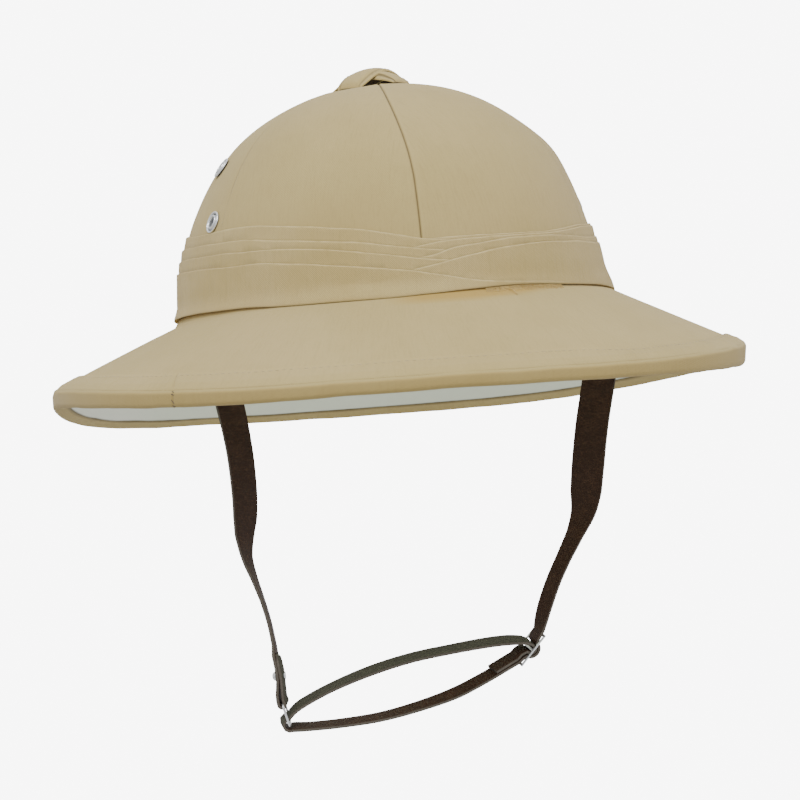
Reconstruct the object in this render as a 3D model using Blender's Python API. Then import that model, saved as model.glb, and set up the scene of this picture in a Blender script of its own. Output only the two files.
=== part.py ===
"""A cloth covered pith helmet with a leather chin strap.

The crown is a dome of six panels over a flared brim. A binding wraps the brim's edge, a
pale lining covers its underside, and a pleated puggaree hides where crown and brim meet.
Two cloth strips cross over the vent in the top, and two eyelets pierce each side.
The chin strap hangs from seams under the brim, as a short and a long leather strap.

The origin is the middle of the head opening, +Z points up and -Y is the front.
An angle round the hat is measured from the front, positive towards +X.
"""

import math

import bmesh
import bpy
from mathutils import Matrix, Vector

MM = 0.001
CLEARANCE = 0.3 * MM

# The crown is an oval dome, and its profile is a superellipse of this power.
CROWN_HALF_WIDTH = 97.2 * MM
CROWN_HALF_LENGTH = 111.8 * MM
CROWN_HEIGHT = 102.5 * MM
CROWN_POWER = 2.3
CROWN_WALL = 7.0 * MM
VENT_HALF_WIDTH = 9.0 * MM
CROWN_RINGS = 10

# The brim runs down and out from the foot of the crown to its edge.
RIM_HALF_WIDTH = 160.0 * MM
RIM_HALF_LENGTH = 176.0 * MM
BRIM_SHOULDER = 1.8 * MM
BRIM_SHOULDER_DROP = 0.4 * MM

# The rim's lowest line: its mean height, then how the front rises, the sides rise, and
# the four quarters dip.
RIM_HEIGHT = -43.2 * MM
RIM_FRONT_RISE = 2.6 * MM
RIM_SIDE_RISE = 4.2 * MM
RIM_QUARTER_DIP = 1.2 * MM
RIM_FACE = 8.6 * MM
RIM_FACE_SWELL = 0.9 * MM

# The binding is folded cloth round the edge of the brim.
BINDING_CLOTH = 0.9 * MM
BINDING_TOP_WIDTH = 11.5 * MM
BINDING_UNDER_WIDTH = 7.5 * MM
RIM_ROUNDING = 2.2 * MM

LINING_CLOTH = 0.8 * MM

# The puggaree is wound from these layers, and each shows as a folded edge.
PUGGAREE_GAP = 0.5 * MM
PUGGAREE_LAYERS = (1.5 * MM, 2.3 * MM, 3.2 * MM, 4.1 * MM)
PUGGAREE_FOOT = 4.7 * MM
PUGGAREE_STEP = 0.7 * MM
PUGGAREE_TUCK = 0.5 * MM

# Height in mm of the top edge and of the three folds under it, at angles in degrees.
# The folds dip to the front, where the right hand ones lap over the left hand ones.
PUGGAREE_FOLDS = (
    # angle, top, fold_1, fold_2, fold_3
    (-180, 33.5, 26.5, 19.5, 12.0),
    (-135, 36.0, 29.8, 23.8, 17.4),
    (-98, 37.6, 31.3, 25.6, 20.4),
    (-75, 34.9, 30.0, 25.3, 19.2),
    (-50, 34.9, 28.9, 23.7, 17.8),
    (-30, 31.6, 25.1, 21.4, 15.2),
    (-16, 27.9, 22.3, 18.1, 12.0),
    (0, 22.8, 17.8, 13.4, 8.3),
    (9, 22.5, 19.9, 16.9, 12.6),
    (20, 22.6, 20.9, 18.8, 15.9),
    (42, 24.4, 22.9, 20.6, 18.4),
    (60, 27.5, 25.3, 21.9, 19.2),
    (82, 30.9, 28.0, 24.4, 21.3),
    (120, 33.5, 27.5, 21.2, 14.8),
    (150, 33.0, 26.5, 20.0, 12.8),
)

# A strip over the vent is sewn down at both ends and rises between them.
STRIP_WIDTH = 16.0 * MM
STRIP_CLOTH = 1.5 * MM
STRIP_REACH = 18.0 * MM
STRIP_RISE = 3.2 * MM
STRIP_CROSSING = 2.5 * MM
STRIP_DROOP = 0.8 * MM
STRIP_STEPS = 12
STRIP_UPPER_ANGLE = -42.0
STRIP_LOWER_ANGLE = 48.0

EYELET_RADIUS = 5.1 * MM
EYELET_NECK_RADIUS = 3.7 * MM
EYELET_BORE_RADIUS = 2.5 * MM
EYELET_LIP = 1.1 * MM
EYELET_DEPTH = 4.5 * MM

# Name, angle in degrees and height in mm of each eyelet.
EYELETS = (
    ("eyelet_left_lower", -65.5, 40.4),
    ("eyelet_left_upper", -75.5, 65.0),
    ("eyelet_right_lower", 86.0, 40.4),
    ("eyelet_right_upper", 88.0, 65.0),
)

# Both straps hang from the brim at this angle, this far out from the crown.
STRAP_ANGLE = 64.0
STRAP_OUT = 2.2 * MM
STRAP_BURIED = 1.5 * MM
STRAP_LEATHER = 1.5 * MM
STRAP_WIDE = 15.0 * MM
STRAP_NARROW = 7.5 * MM

# Routes of the strap's middle line from the brim down. x, y and z are in mm. The width
# points along heading, in degrees from +X towards +Y, and rises by lift in degrees.
LEFT_STRAP_ROUTE = (
    # x, y, z, heading, lift, width
    (-86.5, -50.4, -18.0, 30, 0, 15.0),
    (-81.9, -50.0, -42.0, 35, 0, 15.0),
    (-79.1, -49.6, -62.0, 39, 0, 15.0),
    (-78.2, -49.3, -80.0, 42, 0, 15.0),
    (-78.6, -49.1, -92.0, 45, 0, 14.8),
    (-79.4, -49.0, -100.0, 49, 0, 12.8),
    (-79.0, -49.0, -110.0, 59, 0, 8.6),
    (-76.3, -49.0, -120.0, 72, 0, 7.5),
    (-73.4, -49.3, -130.0, 80, 2, 7.5),
    (-71.4, -49.8, -140.0, 83, 5, 7.5),
    (-70.1, -50.6, -151.0, 83, 6, 7.5),
)
RIGHT_STRAP_ROUTE = (
    # x, y, z, heading, lift, width
    (89.3, -50.4, -18.0, -27, 0, 15.0),
    (84.4, -50.0, -42.0, -28, 0, 15.0),
    (79.9, -49.6, -62.0, -29, 0, 15.0),
    (76.8, -49.3, -80.0, -30, 0, 15.0),
    (75.0, -49.1, -92.0, -31, 0, 14.4),
    (73.1, -49.0, -101.0, -33, 0, 11.6),
    (68.6, -49.0, -110.5, -36, 0, 8.4),
    (62.6, -49.0, -121.0, -40, 0, 7.5),
    (57.4, -49.2, -131.0, -45, 0, 7.5),
    (53.2, -49.6, -141.0, -53, -3, 7.5),
    (50.7, -50.1, -147.5, -60, -6, 7.5),
)

# The ring is a flat loop of wire that hangs on the short strap.
RING_TOP = (-67.7, -49.0, -174.9)
RING_HEADING = 83.0
RING_LIFT = 6.0
RING_LEAN = 13.2
RING_LENGTH = 10.2 * MM
RING_WIDTH = 9.9 * MM
WIRE_RADIUS = 0.65 * MM
WIRE_SIDES = 8

# The folded end of the short strap, and the rivet through it.
FOLD_LENGTH = 20.5 * MM
FOLD_GAP = 1.0 * MM
RIVET_UP = 11.5 * MM
RIVET_HEAD_RADIUS = 2.2 * MM
RIVET_HEAD_HEIGHT = 1.6 * MM
RIVET_SHANK_RADIUS = 1.0 * MM
RIVET_TAIL_RADIUS = 1.7 * MM
RIVET_TAIL_HEIGHT = 0.5 * MM

# The slide is a flat frame with a middle bar. Its long side runs along SLIDE_RUN.
SLIDE_CENTRE = (43.9, -49.0, -160.0)
SLIDE_RUN = (-0.663, 0.091, -0.743)
SLIDE_ACROSS = (-0.428, 0.892, 0.142)
SLIDE_LENGTH = 17.9 * MM
SLIDE_WIDTH = 11.1 * MM
SLIDE_BAR = 1.3 * MM
SLIDE_BEVEL = 0.3 * MM

# The two runs of the long strap between the slide and the ring.
LOWER_RUN = (
    # x, y, z, heading, lift, width
    (24.0, -52.3, -171.3, 108, 12, 7.5),
    (9.5, -53.2, -177.0, 98, 16, 7.5),
    (-6.8, -53.2, -181.7, 90, 18, 7.5),
    (-25.0, -52.0, -185.0, 86, 18, 7.5),
    (-43.0, -50.6, -186.4, 84, 16, 7.5),
    (-57.0, -49.0, -186.9, 83, 10, 7.5),
)
# The strap's turn round the ring's lower bar, as places down the ring from its top bar
# and out from it to the left, in mm.
RING_TURN = (
    # down, out
    (12.2, -0.5),
    (12.0, 1.6),
    (10.9, 3.6),
    (9.0, 4.7),
    (7.0, 4.5),
    (5.4, 2.8),
    (4.5, 0.5),
)
UPPER_RUN = (
    # x, y, z, heading, lift, width
    (-60.3, -49.0, -176.8, 83, 10, 7.5),
    (-46.0, -50.4, -170.2, 84, 16, 7.5),
    (-28.0, -51.8, -164.3, 86, 18, 7.5),
    (-9.7, -52.8, -160.1, 90, 18, 7.5),
    (8.4, -53.2, -157.5, 96, 16, 7.5),
    (24.0, -52.6, -156.0, 106, 12, 7.5),
    (34.6, -51.0, -155.4, 112, 8, 7.5),
)
TAIL_LENGTH = 12.0 * MM

SEGMENTS = 64
STRAP_STEP = 5.0 * MM
EYELET_SIDES = 16
RIVET_SIDES = 12

COTTON = ("cotton", (0.50, 0.42, 0.27), 0.85, 0.0)
LINING = ("lining", (0.45, 0.51, 0.43), 0.8, 0.0)
LEATHER = ("leather", (0.035, 0.018, 0.012), 0.5, 0.0)
STEEL = ("nickel", (0.75, 0.76, 0.76), 0.25, 1.0)


def clear_scene():
    """Remove every object, so that the script starts from an empty scene."""
    for obj in list(bpy.data.objects):
        bpy.data.objects.remove(obj, do_unlink=True)


def material(finish):
    """The material of a finish, made once and then shared."""
    name, colour, roughness, metallic = finish
    found = bpy.data.materials.get(name)
    if found:
        return found
    made = bpy.data.materials.new(name)
    made.use_nodes = True
    shader = made.node_tree.nodes["Principled BSDF"]
    shader.inputs["Base Color"].default_value = (*colour, 1.0)
    shader.inputs["Roughness"].default_value = roughness
    shader.inputs["Metallic"].default_value = metallic
    return made


def finish_object(name, bm, finish, smooth_angle=40.0):
    """Turn a bmesh into a named object with its normals out and its material on."""
    bmesh.ops.recalc_face_normals(bm, faces=bm.faces)
    mesh = bpy.data.meshes.new(name)
    bm.to_mesh(mesh)
    bm.free()
    mesh.materials.append(material(finish))
    mesh.shade_smooth()
    mesh.set_sharp_from_angle(angle=math.radians(smooth_angle))
    obj = bpy.data.objects.new(name, mesh)
    bpy.context.scene.collection.objects.link(obj)
    return obj


def skin(bm, sections, closed, by_reach=False):
    """Join each section of points to the next with quads, capped where not closed.

    With by_reach the quads become triangles, each cut from its outer corner in one
    section to its inner corner in the next. Layers that lie on each other then match.
    """
    rows = [[bm.verts.new(point) for point in section] for section in sections]
    count = len(rows[0])
    pairs = list(zip(rows, rows[1:]))
    if closed:
        pairs.append((rows[-1], rows[0]))
    for here, there in pairs:
        for i in range(count):
            j = (i + 1) % count
            if not by_reach:
                bm.faces.new((here[i], here[j], there[j], there[i]))
            elif here[i].co.xy.length >= here[j].co.xy.length:
                bm.faces.new((here[i], here[j], there[j]))
                bm.faces.new((here[i], there[j], there[i]))
            else:
                bm.faces.new((here[i], here[j], there[i]))
                bm.faces.new((here[j], there[j], there[i]))
    if not closed:
        bm.faces.new(list(reversed(rows[0])))
        bm.faces.new(rows[-1])


def hat_ring(name, section, finish):
    """Sweep section(angle) once round the hat, into one closed ring."""
    bm = bmesh.new()
    angles = [math.tau * step / SEGMENTS - math.pi for step in range(SEGMENTS)]
    skin(bm, [section(angle) for angle in angles], closed=True, by_reach=True)
    return finish_object(name, bm, finish)


def cut(obj, cutters):
    """Cut each cutter out of obj. The cutters stay in the scene as hidden guides."""
    for cutter in cutters:
        modifier = obj.modifiers.new("cut", "BOOLEAN")
        modifier.operation = "DIFFERENCE"
        modifier.solver = "EXACT"
        modifier.object = cutter


def hide_guide(obj):
    """Show a cutter as a wire guide that isn't rendered."""
    obj.hide_render = True
    obj.display_type = "WIRE"
    return obj


# Shapes of the hat


def oval(half_width, half_length, angle):
    """The point at an angle on a level oval, in plan."""
    return Vector((half_width * math.sin(angle), -half_length * math.cos(angle)))


def crown_scale(height, top=CROWN_HEIGHT):
    """How wide the dome still is at a height, as a share of its foot."""
    share = min(max(height / top, 0.0), 1.0)
    return math.sqrt(max(0.0, 1.0 - share**CROWN_POWER))


def crown_point(angle, height, out=0.0):
    """A point level with height, out from the crown's surface by a distance."""
    scale = crown_scale(height)
    half_width = CROWN_HALF_WIDTH * scale + out
    half_length = CROWN_HALF_LENGTH * scale + out
    plan = oval(half_width, half_length, angle)
    return Vector((plan.x, plan.y, height))


def crown_normal(angle, height):
    """The direction that the crown's surface faces."""
    step = 0.5 * MM
    turn = 0.005
    up = crown_point(angle, height + step) - crown_point(angle, height - step)
    along = crown_point(angle + turn, height) - crown_point(angle - turn, height)
    return along.cross(up).normalized()


def rim_height(angle):
    """The height of the lowest line of the rim."""
    return (
        RIM_HEIGHT
        + RIM_FRONT_RISE * math.cos(angle)
        - RIM_SIDE_RISE * math.cos(2 * angle)
        + RIM_QUARTER_DIP * math.cos(4 * angle)
    )


def rim_face(angle):
    """How tall the rim's outer face is."""
    return RIM_FACE - RIM_FACE_SWELL * math.cos(2 * angle)


def brim_span(angle):
    """The plan distance from the crown's foot to the rim."""
    rim = oval(RIM_HALF_WIDTH, RIM_HALF_LENGTH, angle)
    foot = oval(CROWN_HALF_WIDTH, CROWN_HALF_LENGTH, angle)
    return (rim - foot).length


def brim_point(angle, out, height):
    """A point out from the crown's foot in plan, towards the rim at the same angle."""
    foot = oval(CROWN_HALF_WIDTH, CROWN_HALF_LENGTH, angle)
    rim = oval(RIM_HALF_WIDTH, RIM_HALF_LENGTH, angle)
    plan = foot + (rim - foot).normalized() * out
    return Vector((plan.x, plan.y, height))


def brim_slope(angle):
    """How far the brim drops for each metre out."""
    rim_top = rim_height(angle) + rim_face(angle) - BINDING_CLOTH - CLEARANCE
    run = brim_span(angle) - BINDING_CLOTH - CLEARANCE - BRIM_SHOULDER
    return (-BRIM_SHOULDER_DROP - rim_top) / run


def brim_top(angle, out):
    """The height of the brim's top surface."""
    return -BRIM_SHOULDER_DROP - brim_slope(angle) * max(0.0, out - BRIM_SHOULDER)


def brim_under(angle, out):
    """The height of the brim's underside, level under the crown's foot and then sloping."""
    rim_bottom = rim_height(angle) + BINDING_CLOTH + CLEARANCE
    run = brim_span(angle) - BINDING_CLOTH - CLEARANCE - max(out, BRIM_SHOULDER)
    return rim_bottom + brim_slope(angle) * run


# Pieces of the hat


def crown_section(angle):
    """The crown's wall from its foot over the outside to the vent and back inside."""
    vent = math.acos(VENT_HALF_WIDTH / CROWN_HALF_WIDTH)
    outside = []
    inside = []
    for ring in range(CROWN_RINGS + 1):
        climb = vent * ring / CROWN_RINGS
        rise = math.sin(climb) ** (2.0 / CROWN_POWER)
        width = math.cos(climb)
        plan = oval(CROWN_HALF_WIDTH * width, CROWN_HALF_LENGTH * width, angle)
        outside.append(Vector((plan.x, plan.y, CROWN_HEIGHT * rise)))
        if ring < CROWN_RINGS:
            half_width = (CROWN_HALF_WIDTH - CROWN_WALL) * width
            half_length = (CROWN_HALF_LENGTH - CROWN_WALL) * width
            plan = oval(half_width, half_length, angle)
            inside.append(Vector((plan.x, plan.y, (CROWN_HEIGHT - CROWN_WALL) * rise)))
    vent_edge = outside[-1].copy()
    vent_edge.z -= CROWN_WALL
    return outside + [vent_edge] + list(reversed(inside))


def brim_section(angle):
    """The brim's body: its seat under the crown, its slope, its edge and underside."""
    cover = BINDING_CLOTH + CLEARANCE
    edge = brim_span(angle) - cover
    corner = RIM_ROUNDING - cover
    inner = -CROWN_WALL
    top_seam = brim_span(angle) - BINDING_TOP_WIDTH
    under_seam = brim_span(angle) - BINDING_UNDER_WIDTH
    return [
        brim_point(angle, inner, -CLEARANCE),
        brim_point(angle, BRIM_SHOULDER, -BRIM_SHOULDER_DROP),
        brim_point(angle, top_seam, brim_top(angle, top_seam)),
        brim_point(angle, edge - corner, brim_top(angle, edge - corner)),
        brim_point(angle, edge, brim_top(angle, edge) - corner),
        brim_point(angle, edge, brim_under(angle, edge) + corner),
        brim_point(angle, edge - corner, brim_under(angle, edge - corner)),
        brim_point(angle, under_seam, brim_under(angle, under_seam)),
        brim_point(angle, BRIM_SHOULDER, brim_under(angle, BRIM_SHOULDER)),
        brim_point(angle, inner, brim_under(angle, inner)),
    ]


def lining_section(angle):
    """The cloth under the brim, from the head opening to the binding."""
    upper = -CLEARANCE
    lower = -CLEARANCE - LINING_CLOTH
    inner = -CROWN_WALL
    outer = brim_span(angle) - BINDING_UNDER_WIDTH - CLEARANCE
    middle = BRIM_SHOULDER
    return [
        brim_point(angle, inner, brim_under(angle, inner) + upper),
        brim_point(angle, middle, brim_under(angle, middle) + upper),
        brim_point(angle, outer, brim_under(angle, outer) + upper),
        brim_point(angle, outer, brim_under(angle, outer) + lower),
        brim_point(angle, middle, brim_under(angle, middle) + lower),
        brim_point(angle, inner, brim_under(angle, inner) + lower),
    ]


def binding_section(angle):
    """The folded cloth round the brim's edge, as a hook shape."""
    span = brim_span(angle)
    near = CLEARANCE
    far = CLEARANCE + BINDING_CLOTH
    inner_corner = RIM_ROUNDING - far
    edge = span - far
    top_edge = span - BINDING_TOP_WIDTH
    under_edge = span - BINDING_UNDER_WIDTH
    rounding = RIM_ROUNDING
    return [
        brim_point(angle, top_edge, brim_top(angle, top_edge) + near),
        brim_point(angle, top_edge, brim_top(angle, top_edge) + far),
        brim_point(angle, span - rounding, brim_top(angle, span - rounding) + far),
        brim_point(angle, span - rounding * 0.3, brim_top(angle, span) - rounding * 0.1),
        brim_point(angle, span, brim_top(angle, span) + far - rounding),
        brim_point(angle, span, brim_under(angle, edge) - far + rounding),
        brim_point(angle, span - rounding * 0.3, brim_under(angle, edge) - far * 0.6),
        brim_point(angle, span - rounding, brim_under(angle, span - rounding) - far),
        brim_point(angle, under_edge, brim_under(angle, under_edge) - far),
        brim_point(angle, under_edge, brim_under(angle, under_edge) - near),
        brim_point(angle, edge - inner_corner, brim_under(angle, edge - inner_corner) - near),
        brim_point(angle, edge + near, brim_under(angle, edge) + inner_corner),
        brim_point(angle, edge + near, brim_top(angle, edge) - inner_corner),
        brim_point(angle, edge - inner_corner, brim_top(angle, edge - inner_corner) + near),
    ]


def fold_heights(angle):
    """The height of the top edge and of each fold of the puggaree at an angle."""
    degrees = math.degrees(angle)
    rows = PUGGAREE_FOLDS + ((180,) + PUGGAREE_FOLDS[0][1:],)
    for low, high in zip(rows, rows[1:]):
        if low[0] <= degrees <= high[0]:
            share = (degrees - low[0]) / (high[0] - low[0])
            share = share * share * (3.0 - 2.0 * share)
            return [(a + (b - a) * share) * MM for a, b in zip(low[1:], high[1:])]
    return [value * MM for value in rows[0][1:]]


def puggaree_section(angle):
    """The stepped band of folds, and its back against the crown."""
    heights = fold_heights(angle)
    top = heights[0]
    seat = CLEARANCE - BRIM_SHOULDER_DROP
    points = [crown_point(angle, top, PUGGAREE_GAP)]
    points.append(crown_point(angle, top, PUGGAREE_LAYERS[0]))
    for fold, height in enumerate(heights[1:], start=1):
        above = PUGGAREE_LAYERS[fold - 1] - PUGGAREE_TUCK
        points.append(crown_point(angle, height + PUGGAREE_STEP * 0.5, above))
        points.append(crown_point(angle, height - PUGGAREE_STEP * 0.5, PUGGAREE_LAYERS[fold]))
    outer_foot = brim_top(angle, PUGGAREE_FOOT) + CLEARANCE
    points.append(brim_point(angle, PUGGAREE_FOOT, outer_foot))
    points.append(brim_point(angle, BRIM_SHOULDER, seat))
    points.append(brim_point(angle, PUGGAREE_GAP, seat))
    for share in (0.3, 0.65):
        points.append(crown_point(angle, top * share, PUGGAREE_GAP))
    return points


def vent_strip(name, degrees, lift):
    """One cloth strip that bridges the vent, its middle raised by lift."""
    angle = math.radians(degrees)
    along = Vector((math.sin(angle), -math.cos(angle), 0.0))
    side = Vector((0.0, 0.0, 1.0)).cross(along)
    bm = bmesh.new()
    sections = []
    for step in range(STRIP_STEPS + 1):
        share = 2.0 * step / STRIP_STEPS - 1.0
        arch = max(0.0, 1.0 - share * share) ** 0.9
        under = []
        over = []
        for which in (-1.0, 0.0, 1.0):
            place = along * (STRIP_REACH * share) + side * (STRIP_WIDTH * 0.5 * which)
            rise = (STRIP_RISE + lift - STRIP_DROOP * abs(which)) * arch
            height = dome_height(place) + CLEARANCE + rise
            under.append(Vector((place.x, place.y, height)))
            over.append(Vector((place.x, place.y, height + STRIP_CLOTH)))
        sections.append(under + list(reversed(over)))
    skin(bm, sections, closed=False)
    return finish_object(name, bm, COTTON)


def dome_height(place):
    """The height of the crown's surface over a place, with the vent bridged over."""
    share = math.hypot(place.x / CROWN_HALF_WIDTH, place.y / CROWN_HALF_LENGTH)
    return CROWN_HEIGHT * (1.0 - share * share) ** (1.0 / CROWN_POWER)


def turned(name, profile, sides, place, finish):
    """Turn a closed profile of (radius, height) round +Z, then put it in place."""
    bm = bmesh.new()
    sections = []
    for side in range(sides):
        turn = math.tau * side / sides
        sections.append([
            Vector((radius * math.cos(turn), radius * math.sin(turn), height))
            for radius, height in profile
        ])
    skin(bm, sections, closed=True)
    bmesh.ops.transform(bm, matrix=place, verts=bm.verts)
    return finish_object(name, bm, finish)


def eyelet_place(degrees, height):
    """The frame of an eyelet, whose +Z points out of the crown."""
    angle = math.radians(degrees)
    normal = crown_normal(angle, height * MM)
    turn = normal.to_track_quat("Z", "Y").to_matrix().to_4x4()
    return Matrix.Translation(crown_point(angle, height * MM)) @ turn


def eyelet(name, place):
    """A flanged metal eyelet with a rolled lip and an open bore."""
    seat = CLEARANCE + 0.15 * MM
    profile = (
        (EYELET_BORE_RADIUS, -EYELET_DEPTH),
        (EYELET_NECK_RADIUS - 0.6 * MM, -EYELET_DEPTH),
        (EYELET_NECK_RADIUS - 0.4 * MM, seat),
        (EYELET_RADIUS - 0.3 * MM, seat),
        (EYELET_RADIUS, seat + EYELET_LIP * 0.4),
        (EYELET_RADIUS - 0.9 * MM, seat + EYELET_LIP),
        (EYELET_BORE_RADIUS + 0.5 * MM, seat + EYELET_LIP * 0.8),
        (EYELET_BORE_RADIUS, seat + EYELET_LIP * 0.2),
    )
    return turned(name, profile, EYELET_SIDES, place, STEEL)


def eyelet_cutter(name, place):
    """The round hole that an eyelet sits in."""
    bm = bmesh.new()
    bmesh.ops.create_cone(
        bm,
        cap_ends=True,
        segments=EYELET_SIDES,
        radius1=EYELET_NECK_RADIUS,
        radius2=EYELET_NECK_RADIUS,
        depth=CROWN_WALL * 4.0,
        matrix=place,
    )
    return hide_guide(finish_object(name, bm, COTTON))


# Straps


def width_vector(heading, lift):
    """The direction across a strap."""
    turn = math.radians(heading)
    rise = math.radians(lift)
    level = math.cos(rise)
    return Vector((level * math.cos(turn), level * math.sin(turn), math.sin(rise)))


def route_rows(table):
    """Rows of a route table as (place, direction across, width)."""
    rows = []
    for x, y, z, heading, lift, width in table:
        rows.append((Vector((x, y, z)) * MM, width_vector(heading, lift), width * MM))
    return rows


def blend(a, b, c, d, share):
    """A smooth curve through b and c, with a and d as their neighbours."""
    return 0.5 * (
        2.0 * b
        + (c - a) * share
        + (2.0 * a - 5.0 * b + 4.0 * c - d) * share**2
        + (3.0 * b - a - 3.0 * c + d) * share**3
    )


def smooth_rows(rows):
    """More rows on a smooth curve through the given ones."""
    ends = [rows[0]] + rows + [rows[-1]]
    result = []
    for i in range(1, len(rows)):
        before, here, there, after = ends[i - 1 : i + 3]
        steps = max(1, round((there[0] - here[0]).length / STRAP_STEP))
        for step in range(steps):
            share = step / steps
            place = blend(before[0], here[0], there[0], after[0], share)
            across = here[1].lerp(there[1], share).normalized()
            result.append((place, across, here[2] + (there[2] - here[2]) * share))
    result.append(rows[-1])
    return result


def untwisted(rows):
    """The rows with every direction across on the same side of the strap."""
    result = [rows[0]]
    for place, across, width in rows[1:]:
        if across.dot(result[-1][1]) < 0.0:
            across = -across
        result.append((place, across, width))
    return result


def strap_sections(rows, extra_width=0.0, extra_leather=0.0):
    """Four corners at each row of a strap, square to its run."""
    sections = []
    for i, (place, across, width) in enumerate(rows):
        ahead = rows[min(i + 1, len(rows) - 1)][0]
        behind = rows[max(i - 1, 0)][0]
        run = (ahead - behind).normalized()
        across = (across - run * across.dot(run)).normalized()
        out = run.cross(across)
        half = across * ((width + extra_width) * 0.5)
        deep = out * ((STRAP_LEATHER + extra_leather) * 0.5)
        corners = (half + deep, half - deep, -half - deep, -half + deep)
        sections.append([place + corner for corner in corners])
    return sections


def strap_anchor(side):
    """The middle of a strap's upper end, just inside the underside of the brim."""
    angle = math.radians(STRAP_ANGLE * side)
    place = brim_point(angle, STRAP_OUT, brim_under(angle, STRAP_OUT) + STRAP_BURIED)
    outward = brim_point(angle, STRAP_OUT + MM, 0.0) - brim_point(angle, STRAP_OUT, 0.0)
    return place, outward.normalized() * side


def level_end(section, run):
    """Slide a strap's first corners along its run until they are all at one height."""
    height = sum(corner.z for corner in section) / len(section)
    return [corner + run * ((height - corner.z) / run.z) for corner in section]


def pocket_cutter(name, side, route):
    """The slit in the brim's underside that the end of a strap is sewn into."""
    place, across = strap_anchor(side)
    below = Vector(route[0][:3]) * MM
    run = (below - place).normalized()
    rows = [
        (place - run * (2 * CLEARANCE), across, STRAP_WIDE),
        (place + run * (12.0 * MM), across, STRAP_WIDE),
    ]
    sections = strap_sections(rows, 2 * CLEARANCE, 2 * CLEARANCE)
    sections[0] = level_end(sections[0], run)
    bm = bmesh.new()
    skin(bm, sections, closed=False)
    return hide_guide(finish_object(name, bm, LEATHER))


def strap(name, side, rows):
    """A strap from its level end in the brim along its rows."""
    place, across = strap_anchor(side)
    rows = untwisted([(place, across, STRAP_WIDE)] + rows)
    sections = strap_sections(rows)
    sections[0] = level_end(sections[0], (rows[1][0] - place).normalized())
    bm = bmesh.new()
    skin(bm, sections, closed=False)
    return finish_object(name, bm, LEATHER)


def ring_frame():
    """The ring's top middle, its direction down, across and out."""
    across = width_vector(RING_HEADING, RING_LIFT)
    lean = math.radians(RING_LEAN)
    down = Vector((math.sin(lean), 0.0, -math.cos(lean)))
    down = (down - across * down.dot(across)).normalized()
    return Vector(RING_TOP) * MM, down, across, across.cross(down)


def ring():
    """A flat rectangular loop of round wire with rounded corners."""
    top, down, across, out = ring_frame()
    centre = top + down * (RING_LENGTH * 0.5)
    bm = bmesh.new()
    corner = 1.6 * MM
    path = []
    for quarter in range(4):
        for step in range(4):
            turn = math.radians(90.0 * quarter + 30.0 * step)
            sign_down = 1 if quarter in (0, 3) else -1
            sign_across = 1 if quarter in (0, 1) else -1
            along = sign_down * (RING_LENGTH * 0.5 - corner) + corner * math.cos(turn)
            aside = sign_across * (RING_WIDTH * 0.5 - corner) + corner * math.sin(turn)
            path.append((centre + down * along + across * aside, turn))
    sections = []
    for place, turn in path:
        away = down * math.cos(turn) + across * math.sin(turn)
        section = []
        for side in range(WIRE_SIDES):
            spin = math.tau * side / WIRE_SIDES
            section.append(place + (away * math.cos(spin) + out * math.sin(spin)) * WIRE_RADIUS)
        sections.append(section)
    skin(bm, sections, closed=True)
    return finish_object("strap_ring", bm, STEEL, 60.0)


def fold_rows():
    """Rows of the short strap's end: round the ring's top bar and back up."""
    top, down, across, out = ring_frame()
    lead = Vector(LEFT_STRAP_ROUTE[-1][:3]) * MM
    reach = WIRE_RADIUS + CLEARANCE + STRAP_LEATHER * 0.5
    rise = lead - top
    rise = (rise - across * rise.dot(across)).normalized()
    left = rise.cross(across).normalized()
    if left.x > 0.0:
        left = -left
    apart = (STRAP_LEATHER + FOLD_GAP) * 0.5
    rows = []
    for up in (FOLD_LENGTH * 0.85, FOLD_LENGTH * 0.55, FOLD_LENGTH * 0.28):
        rows.append(top + rise * up + left * apart)
    for turn in range(0, 181, 30):
        spin = math.radians(turn)
        rows.append(top + left * (reach * math.cos(spin)) - rise * (reach * math.sin(spin)))
    for up in (0.28, 0.55, 0.85, 1.0):
        rows.append(top + rise * (FOLD_LENGTH * up) - left * apart)
    return [(place, across, STRAP_NARROW) for place in rows], left, rise


def rivet_place(left, rise):
    """The frame of the rivet, whose +Z points out of the strap to the left."""
    top = Vector(RING_TOP) * MM
    turn = left.to_track_quat("Z", "Y").to_matrix().to_4x4()
    return Matrix.Translation(top + rise * RIVET_UP) @ turn


def rivet(place):
    """A domed rivet through both layers of the fold."""
    face = STRAP_LEATHER + FOLD_GAP * 0.5 + CLEARANCE
    profile = [
        (0.0, -face - RIVET_TAIL_HEIGHT),
        (RIVET_TAIL_RADIUS, -face - RIVET_TAIL_HEIGHT),
        (RIVET_TAIL_RADIUS, -face),
        (RIVET_SHANK_RADIUS, -face),
        (RIVET_SHANK_RADIUS, face),
        (RIVET_HEAD_RADIUS, face),
    ]
    for step in range(1, 4):
        climb = math.radians(90.0 * step / 4)
        profile.append((
            RIVET_HEAD_RADIUS * math.cos(climb),
            face + RIVET_HEAD_HEIGHT * math.sin(climb),
        ))
    profile.append((0.0, face + RIVET_HEAD_HEIGHT))
    bm = bmesh.new()
    verts = [bm.verts.new((radius, 0.0, height)) for radius, height in profile]
    edges = [bm.edges.new(pair) for pair in zip(verts, verts[1:])]
    bmesh.ops.spin(
        bm,
        geom=verts + edges,
        cent=(0.0, 0.0, 0.0),
        axis=(0.0, 0.0, 1.0),
        angle=math.tau,
        steps=RIVET_SIDES,
        use_merge=True,
    )
    bmesh.ops.remove_doubles(bm, verts=bm.verts, dist=0.01 * MM)
    bmesh.ops.transform(bm, matrix=place, verts=bm.verts)
    return finish_object("strap_rivet", bm, STEEL)


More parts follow.
